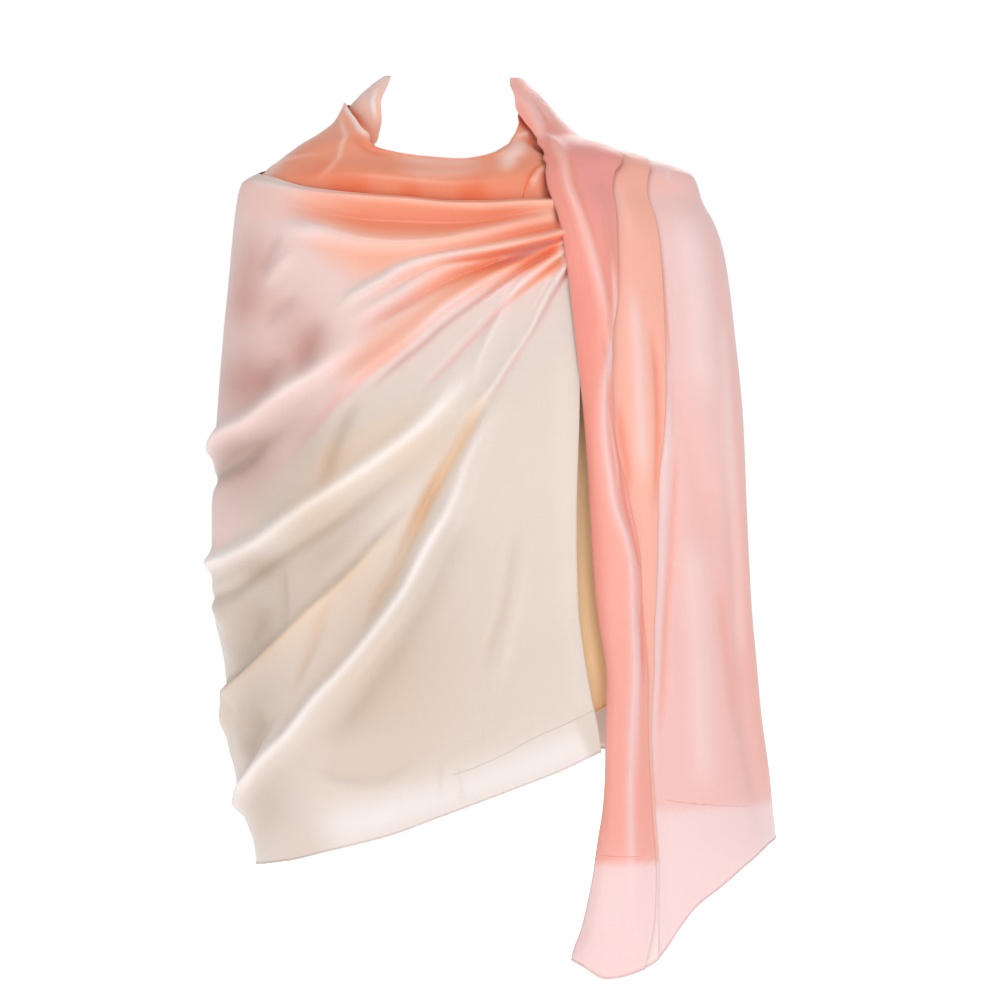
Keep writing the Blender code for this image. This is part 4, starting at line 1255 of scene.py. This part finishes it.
def dye_and_shade_group():
    """The dye with painted light: rose through coral and cream to amber, plain, mixed towards painted shade
    colours by the depth, and towards a painted highlight where the depth is below zero.
    """
    found = bpy.data.node_groups.get(DYE_AND_SHADE_GROUP)
    if found:
        return found
    inputs = (("Dye", "NodeSocketFloat"), ("Depth", "NodeSocketFloat"))
    group, start, end = new_group(DYE_AND_SHADE_GROUP, inputs, (("Colour", "NodeSocketColor"),))
    plain = colour_ramp(group, DYE_STOPS)
    # Painted shade: a ramp of the dye colours as they look deep in a fold
    deep = colour_ramp(group, [(at, name + "_shade") for at, name in DYE_STOPS])
    for ramp in (plain, deep):
        group.links.new(start.outputs["Dye"], ramp.inputs["Fac"])
    blend = mixed(group, "MIX", plain.outputs["Color"], deep.outputs["Color"], start.outputs["Depth"])
    # Painted highlight: a depth below zero mixes in the lit colour
    lit = calculated(group, "MULTIPLY", start.outputs["Depth"], -1.0)
    fill(group, end, {"Colour": mixed(group, "MIX", blend, pick("lit"), lit)})
    return group


def weave_group():
    """The satin weave: fine threads along and across the cloth, with thicker threads here and there."""
    found = bpy.data.node_groups.get(WEAVE_GROUP)
    if found:
        return found
    inputs = (("Vector", "NodeSocketVector"), ("Threads", "NodeSocketFloat"))
    outputs = (("Height", "NodeSocketFloat"), ("Tint", "NodeSocketFloat"))
    group, start, end = new_group(WEAVE_GROUP, inputs, outputs)
    cloth = start.outputs["Vector"]
    slubs = []
    for stretch in SLUB_STRETCHES:
        scale = group.nodes.new("ShaderNodeVectorMath")
        scale.operation = "MULTIPLY"
        for socket, value in zip(scale.inputs, (cloth, stretch)):
            plug(group, socket, value)
        values = {"Scale": 1.0, "Detail": SLUB_DETAIL, "Vector": scale.outputs["Vector"]}
        slubs.append(new_node(group, "ShaderNodeTexNoise", values).outputs["Fac"])
    threads = []
    for direction in ("X", "Y"):
        wave = new_node(group, "ShaderNodeTexWave", {"Vector": cloth, "Scale": start.outputs["Threads"]})
        wave.bands_direction = direction
        threads.append(wave.outputs["Fac"])
    both_slubs = calculated(group, "ADD", *slubs)
    weave = calculated(group, "MULTIPLY", calculated(group, "ADD", *threads), THREAD_SHARE)
    tint = calculated(group, "MULTIPLY", both_slubs, 0.5)
    fill(group, end, {"Height": calculated(group, "ADD", both_slubs, weave), "Tint": tint})
    return group


def group_node(tree, group, values):
    """A node that uses a group, with its inputs filled."""
    node = tree.nodes.new("ShaderNodeGroup")
    node.node_tree = group
    fill(tree, node, values)
    return node


def silk_material(name):
    """Silk satin for one stretch: the dye with its painted shade and highlights, a fine weave and a soft
    sheen.
    """
    label = name + "_satin"
    found = bpy.data.materials.get(label)
    if found:
        return found
    settings = bpy.context.scene.silk_cloth
    material = bpy.data.materials.new(label)
    material.use_nodes = True
    tree = material.node_tree
    cloth = tree.nodes.new("ShaderNodeUVMap")
    cloth.uv_map = "cloth"
    values = {}
    for value in ("dye", "depth"):
        node = tree.nodes.new("ShaderNodeAttribute")
        node.attribute_name = value
        values[value.capitalize()] = node.outputs["Fac"]
    dye = group_node(tree, dye_and_shade_group(), values)
    weave = group_node(tree, weave_group(), {"Threads": settings.threads, "Vector": cloth.outputs["UV"]})
    slubs = weave.outputs["Tint"]
    pink = mixed(tree, "MIX", dye.outputs["Colour"], pick("pink"), PINK_SHARES.get(name, 0.0))
    relief = new_node(tree, "ShaderNodeBump", {
        "Strength": settings.weave_strength,
        "Distance": settings.weave_relief,
        "Height": weave.outputs["Height"],
    })
    smoothest = settings.roughness - ROUGHNESS_SPREAD
    roughest = settings.roughness + ROUGHNESS_SPREAD
    fill(tree, tree.nodes["Principled BSDF"], {
        "Base Color": mixed(tree, "MULTIPLY", pink, in_range(tree, slubs, 1.0 - SLUB_TINT, 1.0)),
        "Roughness": in_range(tree, slubs, smoothest, roughest),
        "Normal": relief.outputs["Normal"],
        "Sheen Weight": settings.sheen,
        "Sheen Roughness": settings.sheen_roughness,
        "Anisotropic": settings.anisotropy,
    })
    return material


def build(name):
    """A stretch with its hems and lines."""
    stretch = next(row for row in named_rows(STRETCHES, STRETCH_COLUMNS) if row["name"] == name)
    hems = [roll_hem(hem) for hem in named_rows(HEMS, HEM_COLUMNS) if hem["stretch"] == name]
    lines = [lay_line(row) for row in named_rows(LINES, LINE_COLUMNS) if row["stretch"] == name]
    piece = lay_stretch(stretch)


def studio_light(row, power):
    """A square light that faces a point."""
    light = bpy.data.lights.new(row["name"], "AREA")
    light.shape = "SQUARE"
    light.size = row["width"]
    light.energy = power
    light.color = row["colour"]
    lamp = bpy.data.objects.new(row["name"], light)
    lamp.location = row["place"]
    lamp.rotation_euler = (Vector(row["aim"]) - Vector(row["place"])).to_track_quat("-Z", "Y").to_euler()
    bpy.context.scene.collection.objects.link(lamp)


def floor_disc(settings):
    """The plain pale floor."""
    disc = bmesh.new()
    bmesh.ops.create_circle(disc, cap_ends=True, radius=settings.floor_radius, segments=FLOOR_SIDES)
    for vertex in disc.verts:
        vertex.co.z = settings.floor_height
    material = bpy.data.materials.new("pale_floor")
    material.use_nodes = True
    tree = material.node_tree
    grain = new_node(tree, "ShaderNodeTexNoise", {"Scale": FLOOR_GRAIN})
    fill(tree, tree.nodes["Principled BSDF"], {
        "Base Color": mixed(tree, "MIX", *FLOOR_TONES, grain.outputs["Fac"]),
        "Roughness": FLOOR_ROUGHNESS,
        "Emission Color": WHITE,
        "Emission Strength": settings.floor_glow,
    })
    floor = new_piece("floor", disc, material)


def studio_world(settings):
    """A plain white room, with less light on the cloth than the eye sees behind it."""
    world = bpy.data.worlds.new("white_room")
    bpy.context.scene.world = world
    world.use_nodes = True
    tree = world.node_tree
    path = tree.nodes.new("ShaderNodeLightPath")
    strength = new_node(tree, "ShaderNodeMapRange", {
        "To Min": settings.room_light,
        "To Max": settings.backdrop,
        "Value": path.outputs["Is Camera Ray"],
    })
    fill(tree, tree.nodes["Background"], {"Strength": strength.outputs["Result"], "Color": WHITE})


def photo_camera(settings):
    """A level camera in front of the wrap."""
    camera = bpy.data.cameras.new("front_camera")
    camera.sensor_width = CAMERA_SENSOR
    camera.lens = settings.lens
    eye = bpy.data.objects.new("front_camera", camera)
    eye.location = settings.camera_place
    eye.rotation_euler = (math.radians(QUARTER_TURN), 0.0, 0.0)
    bpy.context.scene.collection.objects.link(eye)
    bpy.context.scene.camera = eye


def size_setting(label, meaning, default, **limits):
    return FloatProperty(
        name=label, description=meaning, default=default, precision=5, subtype="DISTANCE", unit="LENGTH",
        **limits,
    )


def share_setting(label, meaning, default):
    return FloatProperty(name=label, description=meaning, default=default, subtype="FACTOR")


def plain_setting(label, meaning, default):
    return FloatProperty(name=label, description=meaning, default=default)


def power_setting(label, meaning, default):
    return FloatProperty(name=label, description=meaning, default=default, subtype="POWER", unit="POWER")


class SilkCloth(bpy.types.PropertyGroup):
    """Sizes and finish of the silk."""

    wall: size_setting("Thickness", "Thickness of the silk", 0.00045, min=0.0002, max=0.002)
    hem_radius: size_setting("Hem radius", "Half the thickness of a rolled hem", 0.0008)
    threads: plain_setting("Threads", "Bands of threads for each metre", 220.0)
    weave_strength: share_setting("Weave", "How strongly the threads show", 0.25)
    weave_relief: size_setting("Weave relief", "Height of the threads", 0.0003)
    roughness: share_setting("Roughness", "Roughness of the satin", 0.36)
    anisotropy: share_setting("Drawn gloss", "How far the satin draws out its gloss", 0.3)
    sheen: share_setting("Sheen", "Soft sheen at grazing angles", 0.35)
    sheen_roughness: share_setting("Sheen roughness", "Spread of the sheen", 0.4)


def dye_colour(label, meaning, default):
    return FloatVectorProperty(
        name=label, description=meaning, default=[value / FULL_COLOUR for value in default], size=3,
        min=0.0, max=1.0, subtype="COLOR_GAMMA",
    )


class SilkColours(bpy.types.PropertyGroup):
    """Colours of the dye, each in plain light and as painted shade deep in a fold, with the painted highlight
    of a crest.
    """

    rose: dye_colour("Rose", "The darkest end of the dye", (240, 154, 142))
    coral: dye_colour("Coral", "The dye at the gather and the neck", (238, 146, 112))
    peach: dye_colour("Peach", "Between coral and blush", (246, 182, 160))
    blush: dye_colour("Blush", "The palest pink", (236, 205, 200))
    cream: dye_colour("Cream", "The undyed silk", (220, 206, 197))
    # Amber is painted light: the warm glow of light passing through two layers of silk
    amber: dye_colour("Amber", "The undyed silk where light passes through it twice", (255, 204, 136))
    # Painted shade: the dye colours as they look deep in a fold
    rose_shade: dye_colour("Rose in shade", "Rose deep in a fold", (202, 106, 92))
    coral_shade: dye_colour("Coral in shade", "Coral deep in a fold", (236, 104, 58))
    peach_shade: dye_colour("Peach in shade", "Peach deep in a fold", (234, 132, 98))
    blush_shade: dye_colour("Blush in shade", "Blush deep in a fold", (182, 146, 140))
    cream_shade: dye_colour("Cream in shade", "Cream deep in a fold", (188, 168, 148))
    amber_shade: dye_colour("Amber in shade", "Amber deep in a fold", (232, 148, 74))
    # Painted highlight on the crests of the folds
    lit: dye_colour("Lit", "Silk on the crest of a fold", (255, 247, 244))
    pink: dye_colour("Pink", "Runs through the dye of the falling end", (244, 170, 178))


class SilkStage(bpy.types.PropertyGroup):
    """Floor, lights and camera."""

    floor_height: size_setting("Floor", "Height of the floor", -0.80)
    floor_radius: size_setting("Floor radius", "Half the width of the floor", 14.0)
    floor_glow: plain_setting("Floor glow", "How far the floor is lifted towards white", 0.62)
    room_light: plain_setting("Room light", "Light of the white room on the cloth", 0.44)
    backdrop: plain_setting("Backdrop", "Brightness of the room behind the cloth", 1.0)
    key: power_setting("Key light", "Power of the main light", 34.0)
    fill: power_setting("Fill light", "Power of the second light", 19.0)
    rim: power_setting("Back light", "Power of the light behind", 20.0)
    lens: plain_setting("Lens", "Focal length of the camera, in millimetres", 124.93)
    camera_place: FloatVectorProperty(
        name="Camera", description="Place of the camera", default=(0.0475, -3.4, -0.309), size=3,
        subtype="TRANSLATION", unit="LENGTH",
    )


class LaysSilk:
    """Lays the stretches that an operator names."""

    stretches = ()

    def execute(self, context):
        for name in self.stretches:
            build(name)
        return {"FINISHED"}


class SILK_OT_front(LaysSilk, bpy.types.Operator):
    """Lay the front, from the shoulder gather over the arm"""

    bl_idname = "silk.front"
    bl_label = "Front"
    stretches = ("front_silk",)


class SILK_OT_neck(LaysSilk, bpy.types.Operator):
    """Lay the soft neck edge and the cloth against the neck"""

    bl_idname = "silk.neck"
    bl_label = "Neck"
    stretches = ("cowl_silk", "neck_silk_stretch")


class SILK_OT_falling_end(LaysSilk, bpy.types.Operator):
    """Lay the roll and the folds of the falling end"""

    bl_idname = "silk.falling_end"
    bl_label = "Falling end"
    stretches = ("roll_silk", "middle_silk", "outer_silk")


class SILK_OT_under_layer(LaysSilk, bpy.types.Operator):
    """Lay the under layer beside the falling end"""

    bl_idname = "silk.under_layer"
    bl_label = "Under layer"
    stretches = ("inner_silk",)


class SILK_OT_back(LaysSilk, bpy.types.Operator):
    """Lay the back, with its swags and pleats"""

    bl_idname = "silk.back"
    bl_label = "Back"
    stretches = ("back_silk",)


class SILK_OT_stage(bpy.types.Operator):
    """Set the floor, the lights and the camera"""

    bl_idname = "silk.stage"
    bl_label = "Stage"

    def execute(self, context):
        settings = context.scene.silk_stage
        context.scene.view_settings.view_transform = "Standard"
        floor_disc(settings)
        studio_world(settings)
        for row in named_rows(LIGHTS, LIGHT_COLUMNS):
            studio_light(row, getattr(settings, row["power"]))
        photo_camera(settings)
        return {"FINISHED"}


class SILK_PT_panel(bpy.types.Panel):
    """Lists the pieces of the wrap and their settings"""

    bl_idname = "SILK_PT_panel"
    bl_label = "Silk scarf wrap"
    bl_space_type = "VIEW_3D"
    bl_region_type = "UI"
    bl_category = "Silk scarf"

    def draw(self, context):
        for operator in PIECE_OPERATORS:
            self.layout.operator(operator.bl_idname)
        for group in (context.scene.silk_cloth, context.scene.silk_colours, context.scene.silk_stage):
            box = self.layout.box()
            for name in group.__annotations__:
                box.prop(group, name)


PIECE_OPERATORS = (
    SILK_OT_front,
    SILK_OT_neck,
    SILK_OT_falling_end,
    SILK_OT_under_layer,
    SILK_OT_back,
    SILK_OT_stage,
)
SETTINGS = {"silk_cloth": SilkCloth, "silk_colours": SilkColours, "silk_stage": SilkStage}


def register():
    for group in SETTINGS.values():
        bpy.utils.register_class(group)
    for name, group in SETTINGS.items():
        setattr(bpy.types.Scene, name, PointerProperty(type=group))
    for operator in PIECE_OPERATORS:
        bpy.utils.register_class(operator)
    bpy.utils.register_class(SILK_PT_panel)


def unregister():
    bpy.utils.unregister_class(SILK_PT_panel)
    for operator in reversed(PIECE_OPERATORS):
        bpy.utils.unregister_class(operator)
    for name in SETTINGS:
        delattr(bpy.types.Scene, name)
    for group in reversed(SETTINGS.values()):
        bpy.utils.unregister_class(group)


def main():
    register()
    bpy.ops.silk.stage()
    bpy.ops.silk.front()
    bpy.ops.silk.neck()
    bpy.ops.silk.falling_end()
    bpy.ops.silk.under_layer()
    bpy.ops.silk.back()


if __name__ == "__main__":
    main()
